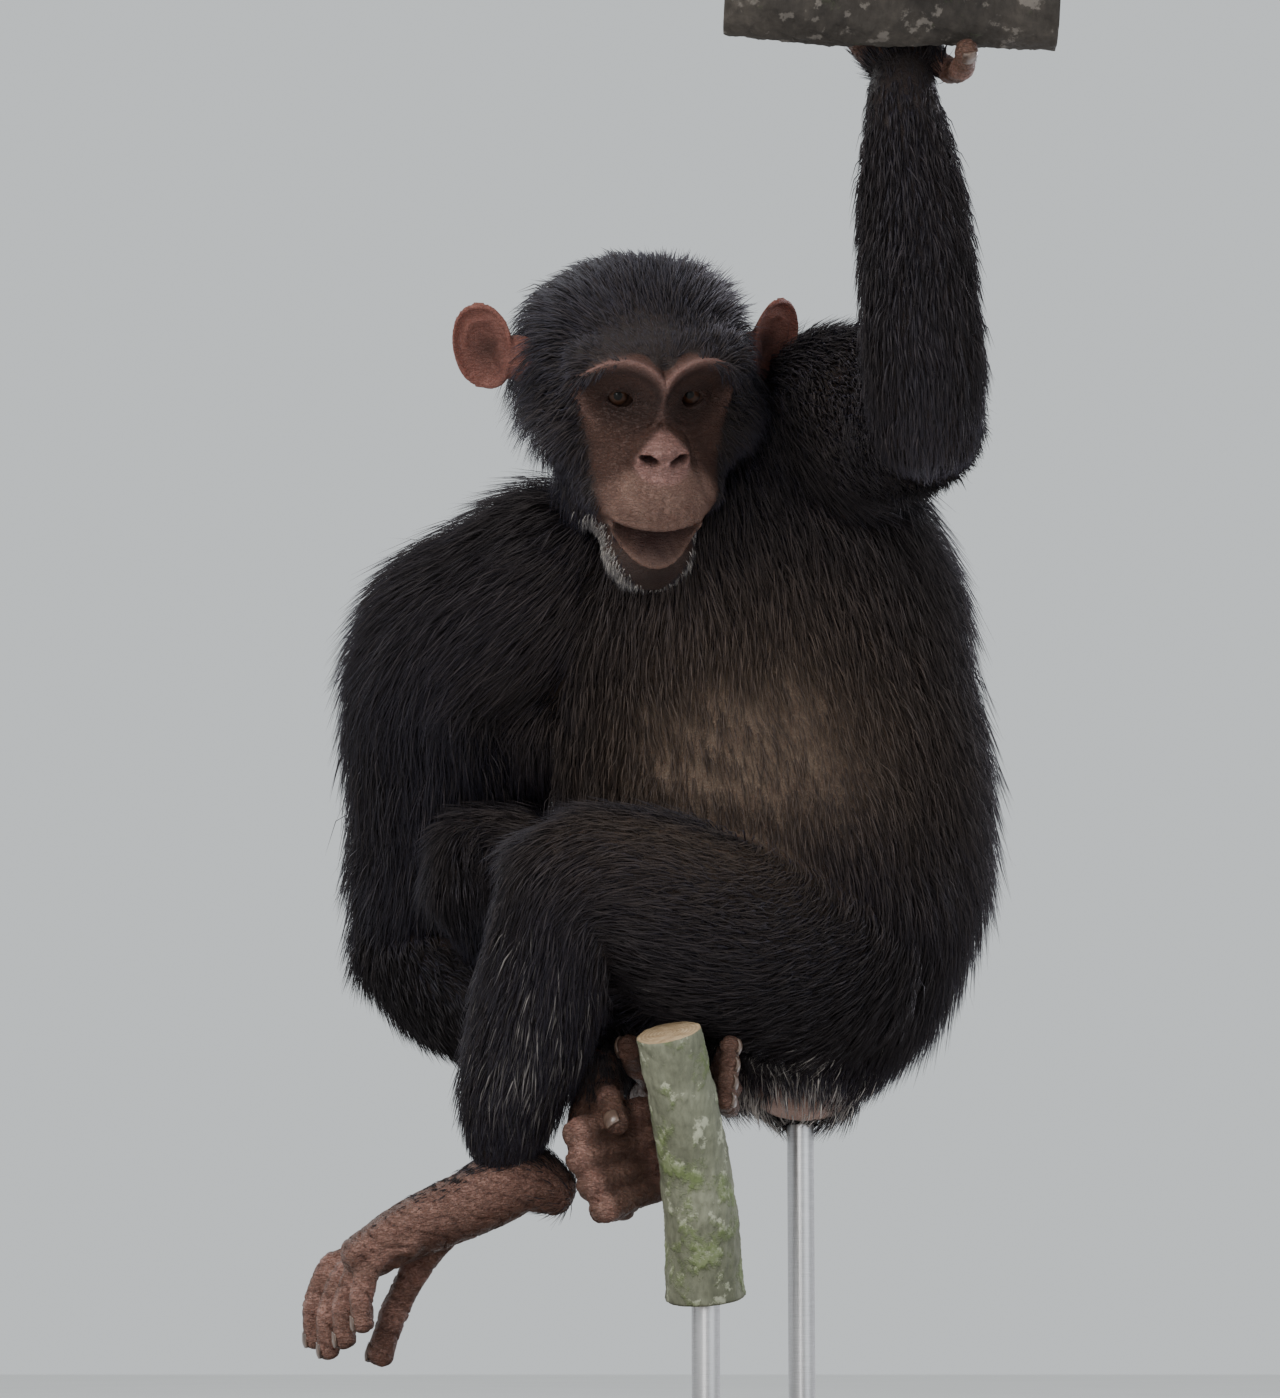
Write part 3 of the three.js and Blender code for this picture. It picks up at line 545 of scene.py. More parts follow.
def barkMaterial(name, pale, dark, moss, mossShare):
    # "cut" marks the sawn ends and "rings" is the distance from the pith in millimetres.
    material, tree = makeMaterial(name)
    broad = noise(tree, 22, 6, (1, 1, 0.6), 0.6)
    fine = noise(tree, 260, 5, (1, 1, 0.35), 0.6)
    between = tuple((a + b) / 2 for a, b in zip(pale, dark))
    bark = ramp(tree, broad, [(0.3, dark), (0.52, between), (0.7, pale)])
    grained = mixed(tree, 0.7, bark, ramp(tree, fine, [(0.3, 0.45), (0.65, 1.0)]), "MULTIPLY")
    spots = ramp(tree, noise(tree, 75, 5, roughness=0.65), [(0.57, 0.0), (0.62, 1.0)])
    lichen = mixed(tree, calc(tree, "MULTIPLY", spots, 0.5), grained, tuple(c * 1.7 + 0.04 for c in pale))
    mossy = ramp(tree, noise(tree, 38, 6, roughness=0.7), [(0.62 - mossShare, 0.0), (0.72 - mossShare, 1.0)])
    skinned = mixed(tree, calc(tree, "MULTIPLY", mossy, 0.75), lichen, moss)
    wood = ramp(tree, noise(tree, 180, 4), [(0.3, (0.36, 0.25, 0.14)), (0.7, (0.58, 0.44, 0.28))])
    rings = calc(tree, "SINE", calc(tree, "MULTIPLY", attribute(tree, "rings"), 2.9))
    ringed = mixed(tree, calc(tree, "MULTIPLY", calc(tree, "ADD", rings, 1.0), 0.22), wood, (0.2, 0.12, 0.06))
    height = calc(tree, "ADD", calc(tree, "MULTIPLY", fine, 0.6), calc(tree, "MULTIPLY", mossy, 0.5))
    return finished(material, {
        "Base Color": mixed(tree, attribute(tree, "cut"), skinned, ringed),
        "Normal": bump(tree, height, 0.0016, 0.9), "Roughness": 0.86, "Specular IOR Level": 0.25})


def baseMaterial():
    material, tree = makeMaterial("oiledWood")
    grain = noise(tree, 26, 6, (1, 14, 1), 0.62)
    pores = noise(tree, 240, 4, (1, 22, 1), 0.6)
    colour = ramp(tree, grain, [(0.3, (0.04, 0.021, 0.012)), (0.5, (0.085, 0.048, 0.027)),
                                (0.7, (0.125, 0.074, 0.042))])
    return finished(material, {
        "Base Color": mixed(tree, 0.6, colour, ramp(tree, pores, [(0.36, 0.35), (0.5, 1.0)]), "MULTIPLY"),
        "Normal": bump(tree, pores, 0.0003, 0.5), "Roughness": 0.42, "Coat Weight": 0.25,
        "Coat Roughness": 0.25})


def steelMaterial():
    material, tree = makeMaterial("brushedSteel")
    brush = noise(tree, 120, 5, (1, 1, 30), 0.6)
    return finished(material, {
        "Base Color": ramp(tree, brush, [(0.3, (0.36, 0.36, 0.37)), (0.7, (0.55, 0.55, 0.56))]),
        "Roughness": ramp(tree, brush, [(0.3, 0.3), (0.7, 0.42)]), "Metallic": 1.0})


def floorMaterial():
    material, tree = makeMaterial("paleFloor")
    return finished(material, {
        "Base Color": ramp(tree, noise(tree, 3, 3), [(0.3, (0.77, 0.77, 0.76)), (0.7, (0.81, 0.81, 0.8))]),
        "Roughness": 0.8})


coat, skin, nail = coatMaterial(), skinMaterial(), nailMaterial()

# Colours of the coat and the skin under it, linear red, green and blue; two are painted shade in hollows of
# the face.
colours = {
    "black": (0.0125, 0.0102, 0.0125), "brown": (0.06, 0.041, 0.029), "white": (0.42, 0.39, 0.36),
    "scalp": (0.022, 0.016, 0.015), "belly": (0.1, 0.072, 0.052), "rump": (0.44, 0.31, 0.26),
    "face": (0.052, 0.0265, 0.02), "paintedShade": (0.018, 0.01, 0.0085), "brow": (0.13, 0.077, 0.066),
    "nose": (0.22, 0.128, 0.112), "muzzle": (0.16, 0.098, 0.078), "lip": (0.045, 0.023, 0.02),
    "chin": (0.05, 0.033, 0.028), "hand": (0.115, 0.066, 0.05), "knuckle": (0.26, 0.15, 0.122),
    "ear": (0.16, 0.07, 0.056), "paintedHoleShade": (0.024, 0.009, 0.0085),
}
colours = {key: np.array(value) for key, value in colours.items()}


def plainTint(colour, count):
    return np.tile(colours[colour], (count, 1))


def blendInto(tint, *layers):
    # Each layer is a colour's name and its share at each point, laid over what is there.
    for colour, share in zip(layers[::2], layers[1::2]):
        share = np.clip(share, 0, 1)[:, None]
        tint = tint * (1 - share) + colours[colour] * share
    return tint


def thinHair(points, normals):
    # Share of hair that is missing: belly, inner arm, elbows and rump, as bells round their middles.
    front = ease(0.15, 0.6, -normals[:, 1])
    belly = bell(points[:, 0] - 54, 96) * bell(points[:, 2] - 420, 70) * front
    chest = bell(points[:, 0] - 60, 90) * bell(points[:, 2] - 505, 60) * front
    patches = [((112, -30, 618), 30, 0.3), ((182, -140, 632), 15, 0.9), ((-118, 118, 338), 20, 0.7),
               ((150, -110, 556), 16, 0.8)]
    arms = sum(share * bell(np.linalg.norm(points - np.array(at), axis=1), size)
               for at, size, share in patches)
    rump = bell(np.linalg.norm((points - (84, 84, 212)) / (1.5, 1.1, 1), axis=1), 24)
    return belly, chest, arms, rump


def bodyTint(points, normals):
    belly, chest, arms, rump = thinHair(points, normals)
    return blendInto(plainTint("scalp", len(points)),
                     "belly", 1.2 * belly + 0.3 * chest + 0.8 * arms, "rump", 1.5 * rump)


def makeBodySkin():
    surfaces = [limbSurface(limb) for limb in limbs.values()]
    # Deltoids, kneecaps, a calf, buttocks, armpit, flank, elbow and belly on the plain limbs.
    bulges = [((112, 30, 632), (46, 44, 42)), ((-112, 60, 508), (46, 44, 44)),
              ((-44, -84, 340), (26, 22, 28)), ((-106, 70, 366), (24, 26, 26)),
              ((-62, -30, 278), (26, 30, 40)), ((104, 108, 270), (38, 46, 40)),
              ((56, 118, 268), (36, 44, 40)), ((-50, 55, 548), (48, 44, 36)),
              ((-22, 80, 445), (36, 52, 92)), ((-68, 84, 456), (28, 32, 40)),
              ((-152, 168, 328), (26, 26, 27)), ((66, 10, 390), (84, 30, 60))]
    surfaces += [ballSurface(*bulge) for bulge in bulges]
    points, faces = fused(surfaces, 3.5, 8)
    normals = normalsOf(points, faces)
    ripple = 0.9 * swirl(points, 46, 1.3) + 0.35 * swirl(points, 17, 4.2)
    points = points + normals * ripple[:, None]
    _, _, arms, _ = thinHair(points, normals)
    values = {"tint": bodyTint(points, normals), "wrinkle": 0.4 + 0.5 * arms, "wet": 0 * arms}
    paired = [part + side for part in ("upper_arm", "forearm", "thigh", "shin")
              for side in ("_left", "_right")]
    makePiece("bodySkin", (points, faces), skin, "coat", "torso", "neck", *paired, values=values)
    return points, faces, normals


# Head surface in its own frame.
def headDepth(points, forms):
    # Below 0 inside: -blend log sum exp(-(reach - 1) size / blend), with the reach from each form's middle
    # in its half sizes and the smallest of those as size.
    total = np.zeros(len(points))
    for x, y, z, a, b, c in forms:
        reach = np.linalg.norm((points - (x, y, z)) / (a, b, c), axis=1)
        total += np.exp(-((reach - 1) * min(a, b, c)) / head["blend"])
    return -head["blend"] * np.log(total)


def headReach(directions):
    # Halves the interval between a point inside the blend and one outside it, for all directions at once.
    heart = np.array(head["heart"], float)
    inside, outside = np.full(len(directions), 10.0), np.full(len(directions), 190.0)
    for _ in range(20):
        middle = (inside + outside) / 2
        within = headDepth(heart + directions * middle[:, None], head["forms"]) < 0
        inside, outside = np.where(within, middle, inside), np.where(within, outside, middle)
    return inside


def ballReach(directions, middle, radius):
    # Far crossing of each direction with a ball, or 0 where it misses.
    toBall = np.array(middle, float) - np.array(head["heart"], float)
    near = directions @ toBall
    room = radius ** 2 - toBall @ toBall + near ** 2
    return np.where(room > 0, near + np.sqrt(np.maximum(room, 0)), 0)


# Face: places and sizes of its features in the head's frame, x across and z up.
face = {
    "browRing": (22, 20.5), "browHeight": 8.2, "browWide": 0.2, "socketDeep": 4.6,
    "lidHalfWidth": 6.5, "lidUp": 5.7, "lidDown": 4.7, "lidShift": (-1.4, 2.8),
    "mouthHalfWidth": 25.5, "mouthTop": -70.3, "mouthHigh": 19.5,
    "nostril": (8.6, -27.8), "nostrilSize": (5.6, 3.0),
}


def mouthEdges(x):
    # Height of the lower edge of the upper lip and the upper edge of the lower lip across the mouth.
    across = np.clip(1 - (x / face["mouthHalfWidth"]) ** 2, 0, 1)
    top = face["mouthTop"] + 3.4 - 3.4 * across
    return top, top - face["mouthHigh"] * across ** 0.75


def faceFeatures(p, directions, reach):
    # Adds to the reach, or takes from it, a bell or an ease for each feature, all weighted towards the front.
    x, z = p[:, 0], p[:, 2]
    front = ease(20, 38, -p[:, 1])
    side = np.abs(x)
    ex, ey, ez = head["eye"]
    lift = np.zeros(len(p))
    # Brow ridge and eye socket: a ring round each eye, high above it and low below it.
    ring = np.hypot((side - ex) / face["browRing"][0], (z - ez - 2) / face["browRing"][1])
    above = ease(-2, 10, z - ez) + 0.6 * ease(4, 14, side - ex) * ease(-18, 0, z - ez)
    lift += face["browHeight"] * bell(ring - 1.02, face["browWide"]) * np.clip(above, 0, 1)
    lift -= face["socketDeep"] * bell(ring, 0.72) * 0.8
    lift -= 1.8 * bell(side, 3.0) * bell(z - 22, 9)
    # Bags and creases under the eye, and the fold from the nose down to the side of the muzzle.
    below = ease(-2, -9, z - ez) * ease(34, 22, side)
    for at, deep in ((0.66, 0.8), (0.88, 1.2), (1.1, 1.1), (1.34, 0.8), (1.6, 0.5)):
        lift -= deep * bell(ring - at, 0.045) * below
    fold = side - (17 + 0.42 * (-26 - z))
    lift -= 2.2 * bell(fold, 2.4) * ease(-22, -30, z) * ease(-66, -52, z)
    lift += 1.1 * bell(fold - 6, 4.5) * ease(-20, -32, z) * ease(-70, -52, z)
    # Nose: a soft groove on its tip, wings round the nostrils and the nostrils themselves.
    nx, nz = face["nostril"]
    lift += 3.4 * bell(side - nx - 4.2, 3.6) * bell(z - nz - 1.5, 5.6)
    lift += 4.6 * bell(x, 10) * bell(z - nz - 6.5, 5.5)
    lift -= 2.2 * bell(x, 16) * bell(z - nz - 18, 6)
    lift -= 2.2 * bell(np.hypot(x / 15, (z - nz - 3) / 12) - 1.16, 0.13) * ease(-3, 2, z - nz)
    lift -= 0.9 * bell(x, 1.6) * bell(z + 22, 5)
    lift += 1.2 * bell(x, 3.0) * bell(z - nz + 2.5, 3.2)
    slant = math.radians(20)
    u = (side - nx) * math.cos(slant) + (z - nz) * math.sin(slant)
    v = -(side - nx) * math.sin(slant) + (z - nz) * math.cos(slant)
    nostril = np.hypot(u / face["nostrilSize"][0], v / face["nostrilSize"][1])
    hole = ease(1.12, 0.72, nostril) * front
    lift -= 7.5 * hole
    lift += 0.8 * bell(nostril - 1.35, 0.28)
    # Lips: a rim over the mouth, a fuller one under it, and the hollow over the chin.
    top, low = mouthEdges(x)
    within = ease(30, 24, side)
    lift += 1.5 * bell(z - top - 2.0, 2.0) * within
    lift += 3.4 * bell(z - low + 3.2, 2.9) * within
    lift -= 1.8 * bell(z - low + 9.5, 4.2) * bell(x, 22)
    lift -= 1.0 * bell(side - 28, 2.6) * bell(z + 68, 5)
    lift -= 0.7 * bell(x, 1.8) * ease(-66, -60, z) * ease(-40, -46, z)
    # Long muscles of the muzzle and fine wrinkles that fan out from the mouth.
    lift += 0.28 * np.sin(x * 1.15 + 0.6 * np.sin(z * 0.3)) * bell(z - top - 7, 7) * within
    lift += 0.25 * np.sin(x * 1.3) * bell(z - low + 6, 5) * within
    lift += 0.4 * swirl(p, 9, 2.0) * bell(side - 36, 12) * ease(-70, -40, z) * ease(6, -6, z)
    out = reach + lift * front
    # Lids lie over the eyeball, and the almond between them is pushed in behind it.
    for way in (1, -1):
        eye = (way * ex, ey, ez)
        lidReach = ballReach(directions, eye, head["eyeRadius"] + 1.5)
        out = np.where(lidReach > 0, np.maximum(out, lidReach), out)
        across = (x - eye[0] - face["lidShift"][0] - 0.7 * way) / face["lidHalfWidth"]
        shape = np.clip(1 - np.abs(across) ** 2.2, 0, 1) ** 0.62
        inner = across * way
        middle = ez + face["lidShift"][1] - 0.6 * inner
        half = np.where(z > middle, face["lidUp"], face["lidDown"]) * shape
        gap = np.abs(z - middle) - half
        crease = bell(gap - np.where(z > middle, 3.0, 2.4), 0.7) * ease(1.25, 0.9, np.abs(across))
        rim = bell(gap - 0.9, 0.8) * ease(1.15, 0.95, np.abs(across))
        out = out + (0.45 * rim - 0.7 * crease) * front
        parted = ease(0.35, -0.55, gap) * (np.abs(across) < 1) * front
        inward = ballReach(directions, eye, head["eyeRadius"] - 2.6)
        pushed = out * (1 - parted) + np.maximum(inward, out - 9) * parted
        out = np.where(parted > 0, pushed, out)
    opening = ease(0.5, -0.9, np.maximum(z - top, low - z)) * (side < face["mouthHalfWidth"]) * front
    return out - 19 * opening, hole, opening


def headTint(p):
    # Colours laid one over the other, each where bells and eases of the place in the face say, with painted
    # shade in the hollows and a painted highlight on the brow ridge.
    x, z = p[:, 0], p[:, 2]
    side = np.abs(x)
    front = ease(8, 34, -p[:, 1])
    ex, _, ez = head["eye"]
    ring = np.hypot((side - ex) / face["browRing"][0], (z - ez - 2) / face["browRing"][1])
    top, low = mouthEdges(x)
    noseWide = 10.5 + 0.42 * np.clip(-15 - z, 0, 24)
    nose = np.hypot(side / noseWide, (z + 27) / 14.5)
    within = ease(31, 25, side) * front
    return blendInto(
        plainTint("scalp", len(p)),
        "face", front * (1 - hairOnHead(p)),
        # Painted shade in the eye sockets and on the bridge between the eyes.
        "paintedShade", 0.72 * front * ease(1.15, 0.4, ring),
        "paintedShade", 0.7 * front * bell(side, 10) * bell(z + 4, 12),
        "brow", 0.95 * front * bell(ring - 1.08, 0.17) * ease(-18, 2, z - ez),
        # Painted highlight along the top of the brow ridge, laid on in the nose's colour.
        "nose", 0.35 * front * bell(ring - 1.1, 0.07) * ease(-2, 10, z - ez),
        # Painted shade in a band under the brow ridge.
        "paintedShade", 0.7 * front * bell(ring - 0.84, 0.08) * ease(-6, 6, z - ez),
        "muzzle", front * ease(1.06, 0.82, np.hypot(side / 35, (z + 55) / 25)) * 0.95,
        # Painted shade in a ring round the nose.
        "face", 0.7 * front * bell(nose - 1.2, 0.16) * ease(-32, -24, z),
        "nose", front * ease(1.1, 0.85, nose),
        "chin", front * ease(-84, -92, z) * ease(34, 26, side),
        # Painted shade in the hollow under the lower lip.
        "paintedShade", 0.95 * front * bell(x, 21) * bell(z - low + 14, 8),
        "lip", 0.75 * within * bell(z - top - 0.6, 1.8),
        "muzzle", 0.75 * within * bell(z - low + 4.0, 3.2),
        "lip", 0.8 * within * bell(z - low - 0.4, 1.5))


def hairOnHead(p):
    # 0 on the bare face and 1 on the hairy head: the face's half width is read off along its height.
    heights = (-120, -113, -104, -90, -68, -44, -20, 0, 10, 18, 24, 29, 33)
    widths = (-12, 6, 19, 29, 35, 36, 40, 45, 44, 38, 30, 17, -8)
    notch = 14 * bell(p[:, 0], 7) * ease(14, 26, p[:, 2])
    edge = np.interp(p[:, 2] + notch, heights, widths) + 1.6 * swirl(p, 13, 0.4)
    bare = ease(3.5, -3.5, np.abs(p[:, 0]) - edge) * ease(12, 26, -p[:, 1])
    return 1 - bare


def makeHeadSkin():
    # Directions from the heart, closer together over the face: each turn is moved by 0.66 sin(turn) and each
    # tilt by 0.2 sin(2 tilt + 0.5) cos(tilt).
    columns, rows = 292, 268
    turn = wholeTurn(columns)
    tilt = np.linspace(-np.pi / 2, np.pi / 2, rows + 2)[1:-1, None]
    lon = turn + 0.66 * np.sin(turn) + 0 * tilt
    lat = tilt + 0.2 * np.sin(2 * tilt + 0.5) * np.cos(tilt) + 0 * turn
    d = np.stack([np.cos(lat) * np.sin(lon), np.cos(lat) * np.cos(lon), np.sin(lat)], -1).reshape(-1, 3)
    poles = np.array([(0, 0, -1), (0, 0, 1)], float)
    d = np.vstack([d, poles])
    heart = np.array(head["heart"], float)
    reach = headReach(d)
    plain = heart + d * reach[:, None]
    reach, hole, opening = faceFeatures(plain, d, reach)
    local = heart + d * reach[:, None]
    # The mouth's opening and the nostrils are painted nearly black as painted shade in the holes.
    tint = blendInto(headTint(plain), "paintedHoleShade", opening, "paintedHoleShade", hole)
    side, z = np.abs(plain[:, 0]), plain[:, 2]
    ex, _, ez = head["eye"]
    nearEye = ease(16, 9, np.hypot(side - ex, (z - ez) * 1.4)) * ease(20, 38, -plain[:, 1])
    values = {"tint": tint, "wrinkle": 0.35 + 0.5 * ease(60, 20, np.abs(z + 30)) * ease(8, 34, -plain[:, 1]),
              "wet": np.clip(0.9 * opening + 0.35 * nearEye + 0.5 * hole, 0, 1)}
    points, faces = closedGrid(fromHead(local[:-2]).reshape(rows, columns, 3), *fromHead(local[-2:])[:, None])
    makePiece("headSkin", (points, faces), skin, "coat", "head", values=values)
    return points, faces, normalsOf(points, faces)


def makeEyes():
    # A ball with the bulge of the cornea round the gaze: radius + 0.9 exp(-(angle / 0.42)^2).
    material = eyeMaterial()
    for name, node, way in (("eyeLeft", "eye_left", 1), ("eyeRight", "eye_right", -1)):
        ex, ey, ez = head["eye"]
        middle = fromHead(np.array([[way * ex, ey, ez]], float))[0]
        gaze = unit(cameraAt + np.array(head["lookBeside"], float) - middle)
        wide = unit(np.cross(gaze, (0, 0, 1)))
        high = np.cross(wide, gaze)
        angle = (np.pi * np.linspace(0, 1, 66)[1:-1] ** 1.25)[:, None]
        turn = wholeTurn(64)
        radius = head["eyeRadius"] + 0.9 * bell(angle, 0.42) - 0.25
        rings = middle + radius[..., None] * (
            np.cos(angle)[..., None] * gaze
            + np.sin(angle)[..., None] * (np.cos(turn)[..., None] * wide + np.sin(turn)[..., None] * high))
        ends = [middle + gaze * (head["eyeRadius"] + 0.65), middle - gaze * (head["eyeRadius"] - 0.25)]
        angles = np.concatenate([np.repeat(angle[:, 0], 64), [0, np.pi]])
        makePiece(name, closedGrid(rings, *ends), material, "eyes", node, values={"gaze": angles})


# Mouth: for each tooth its place across the arch, its width and height; middle and half sizes of the tongue.
mouthPlan = {
    "teeth": ((-16.5, 4.6, 5.6), (-11.2, 5.4, 6.6), (-4.0, 7.4, 8.2), (3.9, 7.4, 8.2), (11.1, 5.4, 6.6),
              (16.4, 4.6, 5.6)),
    "gumLine": -63, "tongueAt": (0, -68, -87.5), "tongueHalf": (14, 13, 5),
}


def makeMouth():
    # Teeth: rounded blocks on an arch, each a ball with its corners filled out, |x|^p + |y|^p + |z|^p = 1.
    surfaces = []
    for at, wide, high in mouthPlan["teeth"]:
        points, faces = ballSurface((0, 0, 0), (1, 1, 1), 20, 12)
        points = np.sign(points) * np.abs(points) ** 0.62
        middle = (at, -89.5 + at * at * 0.028, mouthPlan["gumLine"] - high / 2)
        surfaces.append((points * (wide / 2, 2.2, high / 2) + middle, faces))
    points, faces = joinedSurfaces(surfaces)
    makePiece("upperTeeth", (fromHead(points), faces), toothMaterial(), "teeth", "teeth_upper")
    points, faces = ballSurface((0, 0, 0), mouthPlan["tongueHalf"], 40, 24)
    points[:, 2] -= 0.9 * bell(points[:, 0], 2.2) * (points[:, 2] > 0)
    points = fromHead(points + mouthPlan["tongueAt"])
    makePiece("tongueBlade", (points, faces), tongueMaterial(), "tongue", "tongue")


# Ears: a dished oval on a root. Going out from the middle of its front, the profile sinks into the bowl,
# rises over the inner fold, rolls over the rim and returns along the back.
earShape = {"half": (20, 27), "rim": 4.2, "bowl": 3.4, "thick": 3.2, "turn": (-0.1, 0.1, 0.62)}


def makeEars():
    out = np.linspace(0.02, 1, 40)
    rho = np.concatenate([out, out[::-1][1:]])[:, None]
    isBack = np.concatenate([np.zeros(40), np.ones(39)])[:, None]
    turn = wholeTurn(96)
    halfWide, halfHigh = earShape["half"]
    egg = 1 + 0.07 * np.sin(turn) - 0.05 * np.cos(2 * turn)
    x = halfWide * rho * np.cos(turn) * egg
    z = halfHigh * rho * np.sin(turn) * (1 + 0.03 * np.sin(turn))
    outer = ease(-0.35, 0.5, np.cos(turn) + 0.5 * np.sin(turn))
    front = (-earShape["rim"] * bell(rho - 0.9, 0.09) * (0.35 + 0.65 * outer)
             - 2.4 * bell(rho - 0.6, 0.1) * ease(-0.5, 0.6, np.sin(turn)) * outer
             + earShape["bowl"] * bell(np.hypot(x + 3, z + 4), 11)
             - 2.2 * bell(np.hypot(x + 13, (z + 9) / 1.2), 5))
    back = earShape["thick"] * (1 - rho ** 6) + 5.5 * bell(np.hypot(x + 13, z + 6), 13)
    y = front + isBack * back + 0 * rho - 2.2 * (rho * np.cos(turn)) ** 2
    shell = np.stack([x, y, z], -1)
    ends = [shell[[0]].mean(axis=1), shell[[-1]].mean(axis=1)]
    root = ballSurface((-20, 4, -7), (16, 7, 14), 40, 24)
    points, faces = fused([closedGrid(shell, *ends), root], 0.9, 2)
    across, high = points[:, 0] / halfWide, points[:, 2] / halfHigh
    edge = np.clip(np.hypot(across, high), 0, 1)
    bowl = bell(np.hypot(points[:, 0] + 3, points[:, 2] + 4), 12) * (points[:, 1] < 4)
    spin = turned("XYZ", earShape["turn"])
    for name, way, node in (("earLeft", 1, "ear_left"), ("earRight", -1, "ear_right")):
        placed = fromHead((points @ spin.T + np.array(head["ear"])) * (way, 1, 1))
        sides = faces if way > 0 else [f[:, ::-1] for f in faces]
        # Darker in the bowl as painted shade in its hollow, paler towards the rim.
        tint = plainTint("ear", len(points)) * (0.7 + 0.45 * edge - 0.45 * bowl)[:, None]
        tint = tint * (1 + 0.12 * swirl(points, 12, 1.0 + way))[:, None]
        values = {"tint": tint, "wrinkle": np.full(len(points), 0.5), "wet": np.zeros(len(points))}
        makePiece(name, (placed, sides), skin, "bare_skin", node, values=values)


def digitLimb(digit):
    # A digit thins towards its tip and swells a little at each joint.
    points = np.array(digit["points"], float)
    count = len(points)
    t = np.linspace(0, 1, 4 * (count - 1) + 1)
    path = alongRun(np.hstack([points, points[:, :2]]), t)[:, :3]
    joint = np.abs((t * (count - 1)) % 1 - 0.5) * 2
    radius = digit["radius"] * (1 - 0.045 * t * (count - 1)) * (0.94 + 0.09 * joint ** 3)
    return {"run": np.column_stack([path, radius, radius])}


def makeHandsAndFeet():
    # Creases lie where noise crosses 0, and three short lines cross each joint of a digit.
    made = {}
    nails = []
    for name, plan in handsAndFeet.items():
        digits = digitsOf(name)
        surfaces = [limbSurface(plan, 40, 40)]
        surfaces += [limbSurface(digitLimb(digit), 24, 40, 0.85) for digit in digits]
        points, faces = fused(surfaces, 1.5, 7)
        normals = normalsOf(points, faces)
        lift = 0.35 * swirl(points, 11, 3.0) + 0.2 * swirl(points, 4, 1.0)
        creases = np.abs(swirl(points + 3 * np.sin(points[:, [1, 2, 0]] / 9), 24, 5.0))
        lift -= 0.75 * bell(creases, 0.07)
        # Long folds of the sole and the side of the foot: |sin| of the height over them, bent by noise.
        folds = np.abs(np.sin(points @ np.array([0.32, 0, 0.95]) / 2.7 + 2.2 * swirl(points, 38, 2.0)))
        folds = plan["folds"] * bell(folds, 0.17)
        lift -= 0.8 * folds
        knuckle = np.zeros(len(points))
        for digit in digits:
            path = np.array(digit["points"], float)
            for k in range(1, len(path) - 1):
                along = unit(path[k + 1] - path[k - 1])
                away = points - path[k]
                reach = np.linalg.norm(away, axis=1)
                near = ease(digit["radius"] * 1.9, digit["radius"] * 1.1, reach)
                s = away @ along
                for offset in (-2.6, 0.0, 2.6):
                    lift -= 0.42 * bell(s - offset, 0.55) * near
                knuckle = np.maximum(knuckle, near * bell(s, 5))
            tip, before = path[-1], path[-2]
            along = unit(tip - before)
            up = np.array(digit["nail"], float)
            up = unit(up - (up @ along) * along)
            nails.append(nailSurface(tip, along, up, digit["radius"] * (1.02 - 0.045 * (len(path) - 1))))
        points = points + normals * lift[:, None]
        tint = plainTint("hand", len(points)) * (0.95 + 0.3 * swirl(points, 30, 2.0))[:, None]
        # Knuckles are paler; the side in front is paled as a painted highlight and the folds are darkened in
        # the lip colour as painted shade.
        pale = 0.75 * knuckle + plan["pale"] * ease(0.1, 0.9, -normals[:, 1])
        tint = blendInto(tint, "knuckle", pale, "lip", 0.6 * folds)
        values = {"tint": tint, "wrinkle": 1.3 + 0 * knuckle, "wet": 0 * knuckle}
        makePiece(name, (points, faces), skin, "bare_skin", plan["node"], values=values)
        made[name] = (points, faces, normals)
    makePiece("nails", joinedSurfaces(nails), nail, "bare_skin")
    return made


def nailSurface(tip, along, up, size):
    # A curved plate on the round of the digit: rise = sqrt(size^2 - x^2), lower at its free edge.
    rows, columns = 11, 13
    across = np.cross(along, up)
    u = np.linspace(-1, 1, columns)[None, :]
    v = np.linspace(-1, 1, rows)[:, None]
    x = 0.66 * size * u * (1 - 0.1 * v ** 2)
    rise = np.sqrt(size ** 2 - x ** 2) + 0.25 - 0.2 * size * np.clip(v, 0, 1) ** 2
    y = size * (0.05 + 0.66 * v * (1 - 0.2 * u ** 2))
    outer = tip + x[..., None] * across + y[..., None] * along + rise[..., None] * up
    inner = outer - up * 1.3
    top, under = outer.reshape(-1, 3), inner.reshape(-1, 3)
    a = (np.arange(rows - 1)[:, None] * columns + np.arange(columns - 1)[None, :]).ravel()
    squares = np.stack([a, a + 1, a + columns + 1, a + columns], -1)
    count = rows * columns
    edge = np.concatenate([np.arange(columns), np.arange(1, rows) * columns + columns - 1,
                           count - 2 - np.arange(columns - 1), (np.arange(rows - 2, 0, -1)) * columns])
    following = np.roll(edge, -1)
    wall = np.stack([edge, edge + count, following + count, following], -1)
    faces = np.concatenate([squares, squares[:, ::-1] + count, wall])
    points = np.vstack([top, under])
    first = points[faces[0]]
    if np.cross(first[1] - first[0], first[3] - first[0]) @ up < 0:
        faces = faces[:, ::-1]
    return points, [faces]


